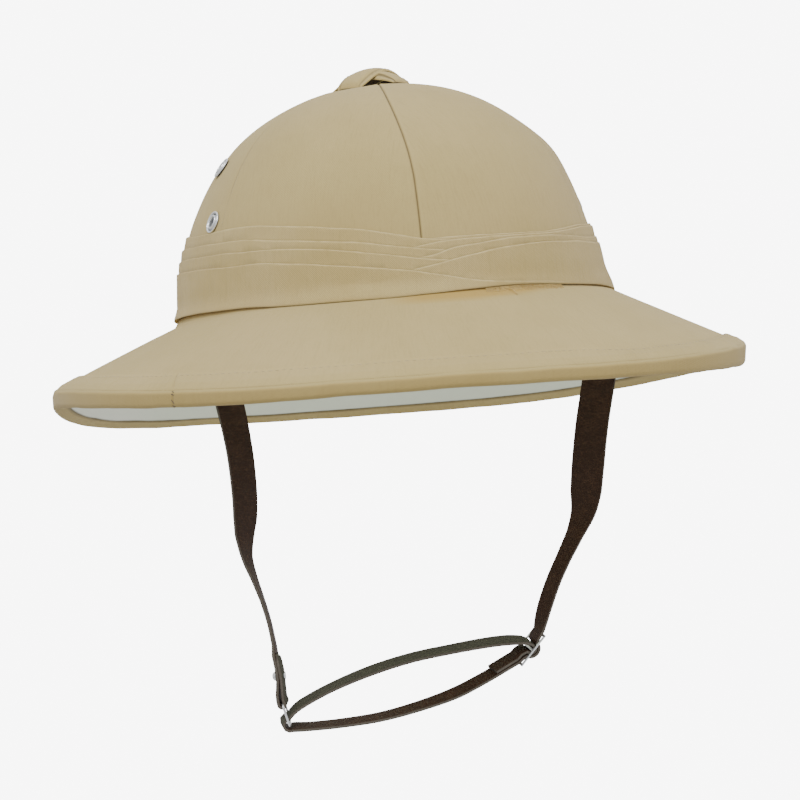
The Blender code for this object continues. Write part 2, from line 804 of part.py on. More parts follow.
def rivet_cutter(place):
    """The hole through both layers of the fold."""
    bm = bmesh.new()
    bmesh.ops.create_cone(
        bm,
        cap_ends=True,
        segments=RIVET_SIDES,
        radius1=RIVET_SHANK_RADIUS + CLEARANCE,
        radius2=RIVET_SHANK_RADIUS + CLEARANCE,
        depth=12.0 * MM,
        matrix=place,
    )
    return hide_guide(finish_object("rivet_hole", bm, LEATHER))


def slide_frame():
    """The slide's centre, its run, its direction across and the side that faces up."""
    run = Vector(SLIDE_RUN).normalized()
    across = Vector(SLIDE_ACROSS)
    across = (across - run * across.dot(run)).normalized()
    return Vector(SLIDE_CENTRE) * MM, run, across, across.cross(run)


def slide():
    """A flat frame with two slots beside a middle bar."""
    centre, run, across, up = slide_frame()
    half = SLIDE_LENGTH * 0.5
    bar = SLIDE_BAR
    runs = (-half, -half + bar, -bar * 0.5, bar * 0.5, half - bar, half)
    sides = (-SLIDE_WIDTH * 0.5, -SLIDE_WIDTH * 0.5 + bar, SLIDE_WIDTH * 0.5 - bar, SLIDE_WIDTH * 0.5)
    bm = bmesh.new()
    grid = [
        [bm.verts.new(centre + run * r + across * s - up * (bar * 0.5)) for s in sides]
        for r in runs
    ]
    faces = []
    for i in range(len(runs) - 1):
        for j in range(len(sides) - 1):
            if i in (1, 3) and j == 1:
                continue
            corners = (grid[i][j], grid[i + 1][j], grid[i + 1][j + 1], grid[i][j + 1])
            faces.append(bm.faces.new(corners))
    raised = bmesh.ops.extrude_face_region(bm, geom=faces)
    lifted = [item for item in raised["geom"] if isinstance(item, bmesh.types.BMVert)]
    bmesh.ops.translate(bm, vec=up * bar, verts=lifted)
    obj = finish_object("strap_slide", bm, STEEL)
    bevel = obj.modifiers.new("rounded", "BEVEL")
    bevel.width = SLIDE_BEVEL
    bevel.segments = 1
    bevel.limit_method = "ANGLE"
    return obj


def slide_rows(points, width=STRAP_NARROW):
    """Rows at (run, up) places in the slide's own frame, in mm."""
    centre, run, across, up = slide_frame()
    return [
        (centre + run * (r * MM) + up * (u * MM), across, width)
        for r, u in points
    ]


def ring_rows():
    """Rows of the strap's turn round the ring's lower bar."""
    top, down, across, out = ring_frame()
    return [
        (top + down * (d * MM) + out * (o * MM), across, STRAP_NARROW)
        for d, o in RING_TURN
    ]


def wrap(radius):
    """Places half way round the slide's middle bar, on its lower side, in mm."""
    places = []
    for turn in range(0, 181, 30):
        spin = math.radians(turn)
        places.append((-radius * math.cos(spin), -radius * math.sin(spin)))
    return places


def long_strap_rows():
    """The long strap: slide, lower run, ring, upper run, slide again, and its tail."""
    leather = STRAP_LEATHER / MM
    gap = CLEARANCE / MM
    bar = SLIDE_BAR * 0.5 / MM
    over = bar + gap + leather * 0.5
    pitch = leather + gap
    end = SLIDE_LENGTH * 0.5 / MM - bar
    outer = over + pitch
    down = smooth_rows(route_rows(RIGHT_STRAP_ROUTE))
    outer_wrap = (
        slide_rows([(-end, over + 0.1), (-end * 0.68, over * 0.62)])
        + slide_rows(wrap(outer))
        + slide_rows([(end * 0.68, over * 0.62), (end, over + 0.1)])
    )
    lower = route_rows(LOWER_RUN)
    upper = route_rows(UPPER_RUN)
    loop = smooth_rows(lower + ring_rows() + upper)
    inner_wrap = (
        slide_rows([(-over - 0.5, 4.2), (-over - 0.1, 1.8)])
        + slide_rows(wrap(over))
        + slide_rows([(over + 0.6, 1.9), (over + 2.5, 3.1)])
    )
    first = Vector(LOWER_RUN[0][:3]) * MM
    centre, run, across, up = slide_frame()
    start = centre + run * (end * MM) + up * ((over + 0.1) * MM)
    along = (first - start).normalized()
    lift = along.cross(across).normalized()
    if lift.dot(up) < 0.0:
        lift = -lift
    tail = []
    for share in (0.0, 0.35, 0.7, 1.0):
        place = start + along * (TAIL_LENGTH * share) + lift * ((pitch + 0.15) * MM)
        tail.append((place, across, STRAP_NARROW))
    return down + outer_wrap + loop + inner_wrap + tail


def build():
    """Make every piece of the helmet."""
    clear_scene()
    crown = hat_ring("crown", crown_section, COTTON)
    brim = hat_ring("brim", brim_section, COTTON)
    lining = hat_ring("brim_lining", lining_section, LINING)
    hat_ring("rim_binding", binding_section, COTTON)
    hat_ring("puggaree", puggaree_section, COTTON)
    vent_strip("vent_strip_lower", STRIP_LOWER_ANGLE, 0.0)
    vent_strip("vent_strip_upper", STRIP_UPPER_ANGLE, STRIP_CROSSING)

    holes = []
    for name, degrees, height in EYELETS:
        place = eyelet_place(degrees, height)
        eyelet(name, place)
        holes.append(eyelet_cutter(name + "_hole", place))
    cut(crown, holes)

    left_pocket = pocket_cutter("left_pocket", -1, LEFT_STRAP_ROUTE)
    right_pocket = pocket_cutter("right_pocket", 1, RIGHT_STRAP_ROUTE)
    cut(brim, (left_pocket, right_pocket))
    cut(lining, (left_pocket, right_pocket))

    fold, left, rise = fold_rows()
    short = strap("chin_strap_short", -1, smooth_rows(route_rows(LEFT_STRAP_ROUTE)) + fold)
    place = rivet_place(left, rise)
    cut(short, (rivet_cutter(place),))
    rivet(place)
    ring()
    slide()
    strap("chin_strap_long", 1, long_strap_rows())


build()
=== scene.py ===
"""The finish of a cloth covered pith helmet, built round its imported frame.

Sizes are in millimetres and turned into metres by MM. The origin is the middle of the
head opening, +Z points up and -Y is the front. An angle round the hat is measured from
the front, positive towards +X.
"""
import math
import random

import bmesh
import bpy
from mathutils import Matrix, Vector, noise


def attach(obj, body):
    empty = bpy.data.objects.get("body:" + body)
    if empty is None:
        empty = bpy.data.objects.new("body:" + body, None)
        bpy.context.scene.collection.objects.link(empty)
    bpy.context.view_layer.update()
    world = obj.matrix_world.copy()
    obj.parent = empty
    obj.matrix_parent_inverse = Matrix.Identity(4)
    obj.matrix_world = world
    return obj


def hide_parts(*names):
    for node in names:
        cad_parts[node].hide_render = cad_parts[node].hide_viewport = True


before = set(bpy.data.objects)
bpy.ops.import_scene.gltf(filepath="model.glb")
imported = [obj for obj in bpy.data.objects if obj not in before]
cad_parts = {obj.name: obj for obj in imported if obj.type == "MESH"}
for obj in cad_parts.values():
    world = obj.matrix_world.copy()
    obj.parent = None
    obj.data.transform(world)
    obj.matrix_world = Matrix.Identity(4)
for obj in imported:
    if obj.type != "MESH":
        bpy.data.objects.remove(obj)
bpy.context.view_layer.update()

MM = 0.001
CLEARANCE = 0.3 * MM

# The camera, where the photograph was taken from.
CAMERA_AZIMUTH = -7.0
CAMERA_ELEVATION = -0.7
CAMERA_ROLL = -4.1
CAMERA_DISTANCE = 1.25
CAMERA_TARGET = (0.0, 0.0, -0.0444)
CAMERA_LENS = 121.1

# The studio: the light from below, from the sides and from above, and the white behind.
LIGHT_BELOW = 0.42
LIGHT_ABOVE = 1.05
BACKDROP = 8.0
FLOOR_LEVEL = -0.42
FLOOR_FULL = 0.30
FLOOR_END = 1.0

# The crown and the brim, as the frame has them.
CROWN_HALF_WIDTH = 97.2 * MM
CROWN_HALF_LENGTH = 111.8 * MM
CROWN_HEIGHT = 102.5 * MM
CROWN_POWER = 2.3
CROWN_WALL = 7.0 * MM
VENT_HALF_WIDTH = 9.0 * MM
RIM_HALF_WIDTH = 160.0 * MM
RIM_HALF_LENGTH = 176.0 * MM
BRIM_SHOULDER = 1.8 * MM
BRIM_SHOULDER_DROP = 0.4 * MM
RIM_HEIGHT = -43.2 * MM
RIM_FRONT_RISE = 2.6 * MM
RIM_SIDE_RISE = 4.2 * MM
RIM_QUARTER_DIP = 1.2 * MM
RIM_FACE = 8.6 * MM
RIM_FACE_SWELL = 0.9 * MM
BINDING_CLOTH = 0.9 * MM
BINDING_TOP_WIDTH = 11.5 * MM
BINDING_UNDER_WIDTH = 7.5 * MM
LINING_CLOTH = 0.8 * MM


class Value:
    """A number that varies over a surface, whose sums add Math nodes to its tree."""

    def __init__(self, wiring, socket):
        self.wiring = wiring
        self.socket = socket

    def _math(self, operation, *values):
        settings = {"operation": operation}
        node = self.wiring.node("ShaderNodeMath", settings, dict(enumerate(values)))
        return Value(self.wiring, node.outputs[0])

    def __add__(self, other):
        return self._math("ADD", self, other)

    __radd__ = __add__

    def __sub__(self, other):
        return self._math("SUBTRACT", self, other)

    def __rsub__(self, other):
        return self._math("SUBTRACT", other, self)

    def __mul__(self, other):
        return self._math("MULTIPLY", self, other)

    __rmul__ = __mul__

    def sine(self):
        return self._math("SINE", self)

    def absolute(self):
        return self._math("ABSOLUTE", self)

    def smooth_step(self, low, high):
        """0 below low, 1 above high and smooth between them."""
        settings = {"interpolation_type": "SMOOTHSTEP"}
        values = {"Value": self, "From Min": low, "From Max": high}
        node = self.wiring.node("ShaderNodeMapRange", settings, values)
        return Value(self.wiring, node.outputs["Result"])


class Wiring:
    """A node tree with one short way to add and wire a node."""

    def __init__(self, tree):
        self.tree = tree

    def node(self, kind, settings=None, values=None):
        """A node with its settings, then the values or links of its sockets."""
        made = self.tree.nodes.new(kind)
        for key, setting in (settings or {}).items():
            setattr(made, key, setting)
        for key, value in (values or {}).items():
            self.put(made.inputs[key], value)
        return made

    def put(self, socket, value):
        """Link a value to a socket, or set it there."""
        if isinstance(value, Value):
            self.tree.links.new(value.socket, socket)
        elif isinstance(value, bpy.types.NodeSocket):
            self.tree.links.new(value, socket)
        else:
            socket.default_value = value


class Look(Wiring):
    """A node material on a Principled BSDF."""

    def __init__(self, name):
        self.material = bpy.data.materials.new(name)
        self.material.use_nodes = True
        super().__init__(self.material.node_tree)
        self.shader = self.tree.nodes["Principled BSDF"]

    def shade(self, **values):
        """Set or link inputs of the shader, named with _ for each space."""
        for key, value in values.items():
            self.put(self.shader.inputs[key.replace("_", " ")], value)

    def place(self):
        return self.node("ShaderNodeTexCoord").outputs["Object"]

    def cloth_map(self):
        """The U and V of the piece's own map, in metres along the cloth."""
        coordinates = self.node("ShaderNodeUVMap", {"uv_map": "cloth"}).outputs["UV"]
        split = self.node("ShaderNodeSeparateXYZ", None, {0: coordinates})
        return Value(self, split.outputs[0]), Value(self, split.outputs[1]), coordinates

    def field(self, name):
        """A named value that the mesh carries at its points."""
        node = self.node("ShaderNodeAttribute", {"attribute_name": name})
        return Value(self, node.outputs["Fac"])

    def noise(self, vector, scale, detail=2.0, roughness=0.5):
        values = {"Vector": vector, "Scale": scale, "Detail": detail, "Roughness": roughness}
        return Value(self, self.node("ShaderNodeTexNoise", None, values).outputs["Fac"])

    def stretched(self, vector, scale):
        """A vector with its three parts scaled apart."""
        values = {"Vector": vector, "Scale": scale}
        return self.node("ShaderNodeMapping", None, values).outputs["Vector"]

    def mix(self, share, low, high):
        """A colour between two others."""
        made = self.node("ShaderNodeMix", {"data_type": "RGBA"}, {"Factor": share})
        for name, value in (("A", low), ("B", high)):
            sockets = [s for s in made.inputs if s.name == name and s.type == "RGBA"]
            self.put(sockets[0], value)
        return [s for s in made.outputs if s.type == "RGBA"][0]

    def line_distance(self, start, end):
        """The distance from a straight line between two places."""
        run = end - start
        minus = {"operation": "SUBTRACT"}
        offset = self.node("ShaderNodeVectorMath", minus, {0: self.place(), 1: tuple(start)})
        per_run = tuple(run / run.length_squared)
        reach = self.node(
            "ShaderNodeVectorMath", {"operation": "DOT_PRODUCT"}, {0: offset.outputs[0], 1: per_run}
        )
        clamp = {"operation": "ADD", "use_clamp": True}
        share = self.node("ShaderNodeMath", clamp, {0: reach.outputs["Value"], 1: 0.0})
        nearest = self.node(
            "ShaderNodeVectorMath", {"operation": "SCALE"}, {0: tuple(run), "Scale": share.outputs[0]}
        )
        ends = {0: offset.outputs[0], 1: nearest.outputs[0]}
        apart = self.node("ShaderNodeVectorMath", {"operation": "DISTANCE"}, ends)
        return Value(self, apart.outputs["Value"])

    def bump(self, height, distance, strength=1.0):
        values = {"Height": height, "Distance": distance, "Strength": strength}
        self.shade(Normal=self.node("ShaderNodeBump", None, values).outputs["Normal"])


def rgb(red, green, blue):
    return (red, green, blue, 1.0)


LINING_LIGHT = rgb(0.95, 1.0, 0.80)
LINING_SHADE = rgb(0.84, 0.90, 0.70)
# The dark colour of seams and joints, and also of painted shade and shadow lines.
SEAM_SHADE = rgb(0.105, 0.070, 0.030)
# A warm colour: painted shade on the rim's face at the front, and a tint on the brim beside the band.
GOLDEN = rgb(0.48, 0.31, 0.06)
# The ends of a crease on the crown's front right, darkened there as a painted shade line.
CREASE_FROM = Vector((0.0752, -0.0609, 0.0285))
CREASE_TO = Vector((0.0807, -0.0480, 0.0355))
# Painted shade: the dark colour of the vent tapes' shaded backs.
TAPE_BACK_SHADE = rgb(0.060, 0.036, 0.018)


def twill(name, colour, pale, dark, contrast, pitch=0.85 * MM, depth=0.10 * MM):
    """Cotton twill: slanting ribs, slubs, a soft mottle and dark seams, with painted highlights, painted shade
    and shadow lines, and painted shade on the vent tapes' backs.
    """
    look = Look(name)
    across, along, flat = look.cloth_map()
    place = look.place()
    ribs = ((across + along) * (math.tau / pitch)).sine()
    threads = ((along - across * 0.2) * (math.tau / (pitch * 0.6))).sine()
    weave = ribs * 0.6 + threads * 0.4
    slubs = look.noise(look.stretched(flat, (620.0, 70.0, 1.0)), 1.0, 3.0)
    mottle = look.noise(place, 18.0, 4.0, 0.6)
    warmth = look.noise(place, 9.0, 2.0)
    fine = look.noise(place, 900.0, 2.0)
    tone = look.mix(mottle.smooth_step(0.3, 0.7) * 0.55, colour, pale)
    tone = look.mix(warmth.smooth_step(0.45, 0.75) * 0.12, tone, rgb(0.60, 0.40, 0.22))
    tone = look.mix((slubs - 0.5).absolute() * 0.45, tone, dark)
    tone = look.mix((1.0 - weave) * contrast + (fine - 0.5) * 0.12, tone, dark)
    # Painted highlights: the fold field lightens fold edges, lips and corners where they catch the light.
    tone = look.mix(look.field("fold") * 0.75, tone, pale)
    # The golden field: painted warm shade on the rim's face at the front, and a golden tint on the brim beside
    # the band.
    tone = look.mix(look.field("golden"), tone, GOLDEN)
    # Dark seams and joints. The seam field also carries painted shade and shadow lines, and the crease line is
    # painted shade.
    painted_shade_line = 1.0 - look.line_distance(CREASE_FROM, CREASE_TO).smooth_step(0.1 * MM, 0.55 * MM)
    tone = look.mix(look.field("seam") * 0.85 + painted_shade_line * 0.35, tone, SEAM_SHADE)
    tone = look.mix(look.field("lined"), tone, LINING_SHADE)
    # Painted shade: the shaded backs of the vent tapes are made dark.
    tone = look.mix(look.field("painted_back_shade"), tone, TAPE_BACK_SHADE)
    look.shade(Base_Color=tone, Roughness=0.86 + (mottle - 0.5) * 0.1)
    look.shade(Specular_IOR_Level=0.2, Sheen_Weight=0.2, Sheen_Roughness=0.45)
    look.bump(weave * 0.5 + slubs * 1.2 + fine * 0.4, depth)
    return look.material


def lining_cloth():
    """A smooth pale cloth with a fine plain weave."""
    look = Look("lining_cotton")
    across, along, flat = look.cloth_map()
    pitch = 0.6 * MM
    weave = (across * (math.tau / pitch)).sine() + (along * (math.tau / pitch)).sine()
    mottle = look.noise(look.place(), 30.0, 3.0)
    streaks = look.noise(look.stretched(flat, (40.0, 400.0, 1.0)), 1.0, 3.0)
    tone = look.mix(mottle * 0.6 + streaks * 0.3, LINING_SHADE, LINING_LIGHT)
    # Painted light: the lining is made paler towards the hat's left side.
    across_hat = look.node("ShaderNodeSeparateXYZ", None, {0: look.place()}).outputs[0]
    left = Value(look, across_hat).smooth_step(-0.10, -0.13)
    tone = look.mix(left * 0.7, tone, rgb(0.99, 1.0, 0.86))
    # Painted shadow: a dark line on the row beside the binding, from the seam field.
    tone = look.mix(look.field("seam") * 0.8, tone, rgb(0.10, 0.075, 0.05))
    look.shade(Base_Color=tone, Roughness=0.75, Sheen_Weight=0.2)
    look.bump(weave * 0.25 + mottle + streaks * 0.5, 0.07 * MM)
    return look.material


def thread_finish(name, colour, dark):
    """Twisted sewing thread."""
    look = Look(name)
    twist = look.noise(look.stretched(look.place(), (2500.0, 2500.0, 2500.0)), 1.0, 1.0)
    tone = look.mix(twist.smooth_step(0.35, 0.7), dark, colour)
    look.shade(Base_Color=tone, Roughness=0.7, Sheen_Weight=0.3)
    look.bump(twist, 0.05 * MM)
    return look.material


def strap_leather():
    """Dark cross grained leather, a grey fuzzy flesh side and pale cut edges."""
    look = Look("strap_leather")
    across, along, flat = look.cloth_map()
    flesh = look.field("flesh")
    rim = look.field("rim")
    lines = look.noise(look.stretched(flat, (260.0, 2100.0, 1.0)), 1.0, 3.0, 0.6)
    pores = look.noise(look.stretched(flat, (1900.0, 2600.0, 1.0)), 1.0, 2.0)
    creases = look.noise(look.stretched(flat, (90.0, 230.0, 1.0)), 1.0, 4.0, 0.65)
    fuzz = look.noise(look.stretched(flat, (1500.0, 800.0, 1.0)), 1.0, 4.0, 0.7)
    wear = look.noise(look.place(), 90.0, 3.0)
    ridge = lines.smooth_step(0.48, 0.66)
    grain = look.mix(ridge * 0.5, rgb(0.0365, 0.0170, 0.0090), rgb(0.056, 0.0265, 0.0140))
    folded = (creases - 0.5).absolute().smooth_step(0.03, 0.0)
    grain = look.mix(folded * 0.35, grain, rgb(0.095, 0.047, 0.025))
    grain = look.mix(wear.smooth_step(0.5, 0.8) * 0.4, grain, rgb(0.080, 0.040, 0.021))
    suede = look.mix(fuzz, rgb(0.058, 0.056, 0.040), rgb(0.096, 0.094, 0.070))
    edge = look.mix(fuzz, rgb(0.085, 0.072, 0.056), rgb(0.20, 0.18, 0.15))
    tone = look.mix(rim * 0.9, look.mix(flesh, grain, suede), edge)
    look.shade(Base_Color=tone, Roughness=0.5 + flesh * 0.4 + rim * 0.3 + (fuzz - 0.5) * 0.15)
    look.shade(Specular_IOR_Level=0.2)
    look.bump(ridge * 0.5 + pores * 0.3 + creases * 1.5 + fuzz * flesh, 0.07 * MM)
    return look.material


def bright_metal():
    """Nickel plate with fine scratches and a dull bloom, with painted shade and dark painted reflections in its
    bores, grooves, rims and corners.
    """
    look = Look("bright_metal")
    place = look.place()
    scratches = look.noise(look.stretched(place, (300.0, 300.0, 3000.0)), 1.0, 3.0)
    bloom = look.noise(place, 250.0, 2.0)
    tone = look.mix(bloom * 0.4, rgb(0.95, 0.96, 0.97), rgb(0.74, 0.77, 0.80))
    # Painted shade and dark painted reflection, from the seam field.
    tone = look.mix(look.field("seam") * 0.9, tone, rgb(0.05, 0.055, 0.065))
    look.shade(Base_Color=tone, Metallic=0.75, Roughness=0.07 + scratches * 0.10)
    look.bump(scratches, 0.01 * MM)
    return look.material


# Meshes


def finish(name, mesh, material, nodes=(), smooth=50.0):
    """Put a mesh in the scene as a piece of the hat, which may stand for CAD nodes."""
    mesh.materials.clear()
    mesh.materials.append(material)
    mesh.shade_smooth()
    mesh.set_sharp_from_angle(angle=math.radians(smooth))
    piece = bpy.data.objects.new(name, mesh)
    bpy.context.scene.collection.objects.link(piece)
    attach(piece, "root")
    if nodes:
        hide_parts(*nodes)
    return piece


def swept(name, sections, uvs, wrap=True, fields=None):
    """A closed skin through sections of points, with a cloth map and point fields.

    uvs(i, j) gives the map at point j of section i, where i and j may run one past the
    last. A field is a function of the same two numbers.
    """
    count = len(sections)
    width = len(sections[0])
    corners = []
    faces = []
    for i in range(count if wrap else count - 1):
        for j in range(width):
            quad = ((i, j), (i, j + 1), (i + 1, j + 1), (i + 1, j))
            faces.append([(a % count) * width + b % width for a, b in quad])
            corners.extend(quad)
    if not wrap:
        faces.append([j for j in reversed(range(width))])
        corners.extend((0, j) for j in reversed(range(width)))
        faces.append([(count - 1) * width + j for j in range(width)])
        corners.extend((count - 1, j) for j in range(width))
    mesh = bpy.data.meshes.new(name)
    mesh.from_pydata([point for section in sections for point in section], [], faces)
    cloth = mesh.uv_layers.new(name="cloth")
    flat = [value for corner in corners for value in uvs(*corner)]
    cloth.data.foreach_set("uv", flat)
    for key, rule in (fields or {}).items():
        attribute = mesh.attributes.new(key, "FLOAT", "POINT")
        values = [rule(i, j) for i in range(count) for j in range(width)]
        attribute.data.foreach_set("value", values)
    bm = bmesh.new()
    bm.from_mesh(mesh)
    bmesh.ops.recalc_face_normals(bm, faces=bm.faces)
    bm.to_mesh(mesh)
    bm.free()
    return mesh


def ripple(point, size, amount, seed=0.0):
    """A smooth random rise or dip at a point."""
    return noise.noise(point / size + Vector((seed, seed * 0.7, -seed))) * amount


def bell(distance, width):
    """1 at no distance, falling smoothly to nothing past about twice the width."""
    return math.exp(-((distance / width) ** 2))


def ease(share):
    """0 up to 0, 1 from 1 on, smooth between."""
    share = min(max(share, 0.0), 1.0)
    return share * share * (3.0 - 2.0 * share)


def curve_height(table, place):
    """The height at a place of a smooth curve through a table of places and heights."""
    if place <= table[0][0]:
        return table[0][1]
    if place >= table[-1][0]:
        return table[-1][1]
    i = 0
    while table[i + 1][0] < place:
        i += 1
    before, here, there, after = table[max(i - 1, 0)], table[i], table[i + 1], table[min(i + 2, len(table) - 1)]
    span = there[0] - here[0]
    leave = (there[1] - before[1]) / (there[0] - before[0]) * span
    arrive = (after[1] - here[1]) / (after[0] - here[0]) * span
    share = (place - here[0]) / span
    square = share * share
    cube = square * share
    return (
        here[1] * (2.0 * cube - 3.0 * square + 1.0)
        + leave * (cube - 2.0 * square + share)
        + there[1] * (3.0 * square - 2.0 * cube)
        + arrive * (cube - square)
    )


# Rows of stitches and runs of thread, made with Geometry Nodes


def node_tree(name, sizes):
    """A geometry tree with a line in, stitches out, and a named input for each size."""
    tree = bpy.data.node_groups.new(name, "GeometryNodeTree")
    tree.interface.new_socket(name="Line", in_out="INPUT", socket_type="NodeSocketGeometry")
    for size in sizes:
        tree.interface.new_socket(name=size, in_out="INPUT", socket_type="NodeSocketFloat")
    tree.interface.new_socket(name="Finish", in_out="INPUT", socket_type="NodeSocketMaterial")
    tree.interface.new_socket(name="Thread", in_out="OUTPUT", socket_type="NodeSocketGeometry")
    wiring = Wiring(tree)
    start = wiring.node("NodeGroupInput")
    return wiring, start.outputs


def end_tree(wiring, geometry, material):
    """Realize the instances, set the material and close the tree."""
    real = wiring.node("GeometryNodeRealizeInstances", None, {0: geometry})
    smooth = wiring.node("GeometryNodeSetShadeSmooth", None, {0: real.outputs[0]})
    values = {"Geometry": smooth.outputs[0], "Material": material}
    dressed = wiring.node("GeometryNodeSetMaterial", None, values)
    wiring.node("NodeGroupOutput", None, {0: dressed.outputs[0]})
    return wiring.tree


def stitch_tree():
    """A small thread lozenge at every pitch along a line, each a little off true."""
    wiring, inputs = node_tree("stitch_row", ("Pitch", "Stitch Length", "Stitch Thickness"))
    curve = wiring.node("GeometryNodeMeshToCurve", None, {"Mesh": inputs["Line"]})
    spaced = wiring.node(
        "GeometryNodeResampleCurve",
        {"mode": "LENGTH"},
        {"Curve": curve.outputs[0], "Length": inputs["Pitch"]},
    )
    ball = wiring.node("GeometryNodeMeshUVSphere", None, {"Segments": 6, "Rings": 5, "Radius": 0.5})
    size = wiring.node(
        "ShaderNodeCombineXYZ",
        None,
        {0: inputs["Stitch Length"], 1: inputs["Stitch Thickness"], 2: inputs["Stitch Thickness"]},
    )
    vary = wiring.node(
        "FunctionNodeRandomValue", {"data_type": "FLOAT"}, {"Min": 0.85, "Max": 1.1, "Seed": 7}
    )
    sized = wiring.node(
        "ShaderNodeVectorMath",
        {"operation": "SCALE"},
        {0: size.outputs[0], "Scale": vary.outputs["Value"]},
    )
    run = wiring.node("GeometryNodeInputTangent")
    turn = wiring.node(
        "FunctionNodeAlignRotationToVector", {"axis": "X"}, {"Vector": run.outputs["Tangent"]}
    )
    placed = wiring.node(
        "GeometryNodeInstanceOnPoints",
        None,
        {
            "Points": spaced.outputs[0],
            "Instance": ball.outputs["Mesh"],
            "Rotation": turn.outputs["Rotation"],
            "Scale": sized.outputs[0],
        },
    )
    return end_tree(wiring, placed.outputs[0], inputs["Finish"])


def thread_tree():
    """A round thread along every line."""
    wiring, inputs = node_tree("thread_run", ("Thread Radius",))
    curve = wiring.node("GeometryNodeMeshToCurve", None, {"Mesh": inputs["Line"]})
    ring = wiring.node(
        "GeometryNodeCurvePrimitiveCircle",
        {"mode": "RADIUS"},
        {"Resolution": 6, "Radius": inputs["Thread Radius"]},
    )
    tube = wiring.node(
        "GeometryNodeCurveToMesh",
        None,
        {"Curve": curve.outputs[0], "Profile Curve": ring.outputs[0], "Fill Caps": True},
    )
    return end_tree(wiring, tube.outputs[0], inputs["Finish"])


def grown(name, tree, lines, values, closed=False):
    """The plain mesh that a tree grows along lines of points."""
    points = []
    edges = []
    for line in lines:
        first = len(points)
        points.extend(line)
        edges.extend((first + i, first + i + 1) for i in range(len(line) - 1))
        if closed:
            edges.append((first + len(line) - 1, first))
    mesh = bpy.data.meshes.new(name)
    mesh.from_pydata(points, edges, [])
    guide = bpy.data.objects.new(name + "_line", mesh)
    bpy.context.scene.collection.objects.link(guide)
    modifier = guide.modifiers.new("grow", "NODES")
    modifier.node_group = tree
    keys = {item.name: item.identifier for item in tree.interface.items_tree if item.in_out == "INPUT"}
    for key, value in values.items():
        modifier[keys[key]] = value
    depsgraph = bpy.context.evaluated_depsgraph_get()
    result = bpy.data.meshes.new_from_object(guide.evaluated_get(depsgraph))
    bpy.data.objects.remove(guide)
    return result


# The hat's own rules, as in the frame, with the dents and sags of the real one

CROWN_DENTS = (
    # angle, height in mm, spread in degrees, spread in mm, outward in mm
    (88.0, 36.0, 36.0, 22.0, -2.5),
    (80.0, 66.0, 30.0, 9.0, 1.1),
    (80.0, 92.0, 40.0, 8.0, 0.45),
    (-92.0, 79.0, 32.0, 9.0, 0.25),
    (-92.0, 52.0, 30.0, 12.0, -0.4),
)
TOP_DROP = 0.85 * MM
TOP_DROP_AT = -12.0 * MM
TOP_DROP_SPREAD = 48.0 * MM
DIMPLE = 1.2 * MM
DIMPLE_AT = (-9.5 * MM, -14.0 * MM)
DIMPLE_SPREAD = 8.0 * MM
ROOT_DROPS = (
    # angle, spread in degrees, how much lower in mm the brim's top is beside the band
    (-90.0, 42.0, 3.0), (58.0, 18.0, -0.9), (92.0, 12.0, 0.45),
)
ROOT_RUN = 3.2 * MM
RIM_DROPS = (
    # angle, how much lower in mm the whole rim hangs
    (-180.0, 0.7), (-150.0, 0.5), (-140.0, 1.6), (-130.0, 2.7), (-120.0, 3.9), (-112.0, 4.2),
    (-104.0, 3.6), (-96.0, 1.9), (-88.0, 0.5), (-80.0, 0.0), (100.0, 0.0), (140.0, 0.5), (180.0, 0.7),
)
RIM_SAGS = (
    # angle, how much thicker in mm the folded tape is underneath
    (35.0, 0.0), (58.0, 1.2), (72.0, 2.0), (84.0, 2.4), (92.0, 2.3), (104.0, 1.2), (130.0, 0.0),
)


def oval(half_width, half_length, angle):
    return Vector((half_width * math.sin(angle), -half_length * math.cos(angle)))


def crown_scale(height):
    share = min(max(height / CROWN_HEIGHT, 0.0), 1.0)
    return math.sqrt(max(0.0, 1.0 - share**CROWN_POWER))


def turn_apart(degrees, other):
    """The turn from one angle to another, from -180 to 180 degrees."""
    return (degrees - other + 180.0) % 360.0 - 180.0


def crown_push(angle, height):
    """How far the crown's side bulges out, or sinks in, at a place."""
    push = 0.0
    for degrees, level, turn, rise, out in CROWN_DENTS:
        near = bell(turn_apart(math.degrees(angle), degrees), turn)
        push += out * MM * near * bell(height / MM - level, rise)
    return push


def top_drop(x, y):
    """How much flatter than its plain form the crown's top is, with a dimple at the vent."""
    dimple = DIMPLE * bell(math.hypot(x - DIMPLE_AT[0], y - DIMPLE_AT[1]), DIMPLE_SPREAD)
    return TOP_DROP * bell(math.hypot(x - TOP_DROP_AT, y), TOP_DROP_SPREAD) + dimple


def crown_point(angle, height, out=0.0):
    scale = crown_scale(height)
    out += crown_push(angle, height)
    plan = oval(CROWN_HALF_WIDTH * scale + out, CROWN_HALF_LENGTH * scale + out, angle)
    return Vector((plan.x, plan.y, height))


def crown_normal(angle, height):
    step = 0.5 * MM
    turn = 0.005
    up = crown_point(angle, height + step) - crown_point(angle, height - step)
    along = crown_point(angle + turn, height) - crown_point(angle - turn, height)
    return along.cross(up).normalized()


def rim_height(angle):
    return (
        RIM_HEIGHT
        + RIM_FRONT_RISE * math.cos(angle)
        - RIM_SIDE_RISE * math.cos(2 * angle)
        + RIM_QUARTER_DIP * math.cos(4 * angle)
        - curve_height(RIM_DROPS, math.degrees(angle)) * MM
    )


def rim_face(angle):
    return RIM_FACE - RIM_FACE_SWELL * math.cos(2 * angle)


def brim_span(angle):
    rim = oval(RIM_HALF_WIDTH, RIM_HALF_LENGTH, angle)
    return (rim - oval(CROWN_HALF_WIDTH, CROWN_HALF_LENGTH, angle)).length


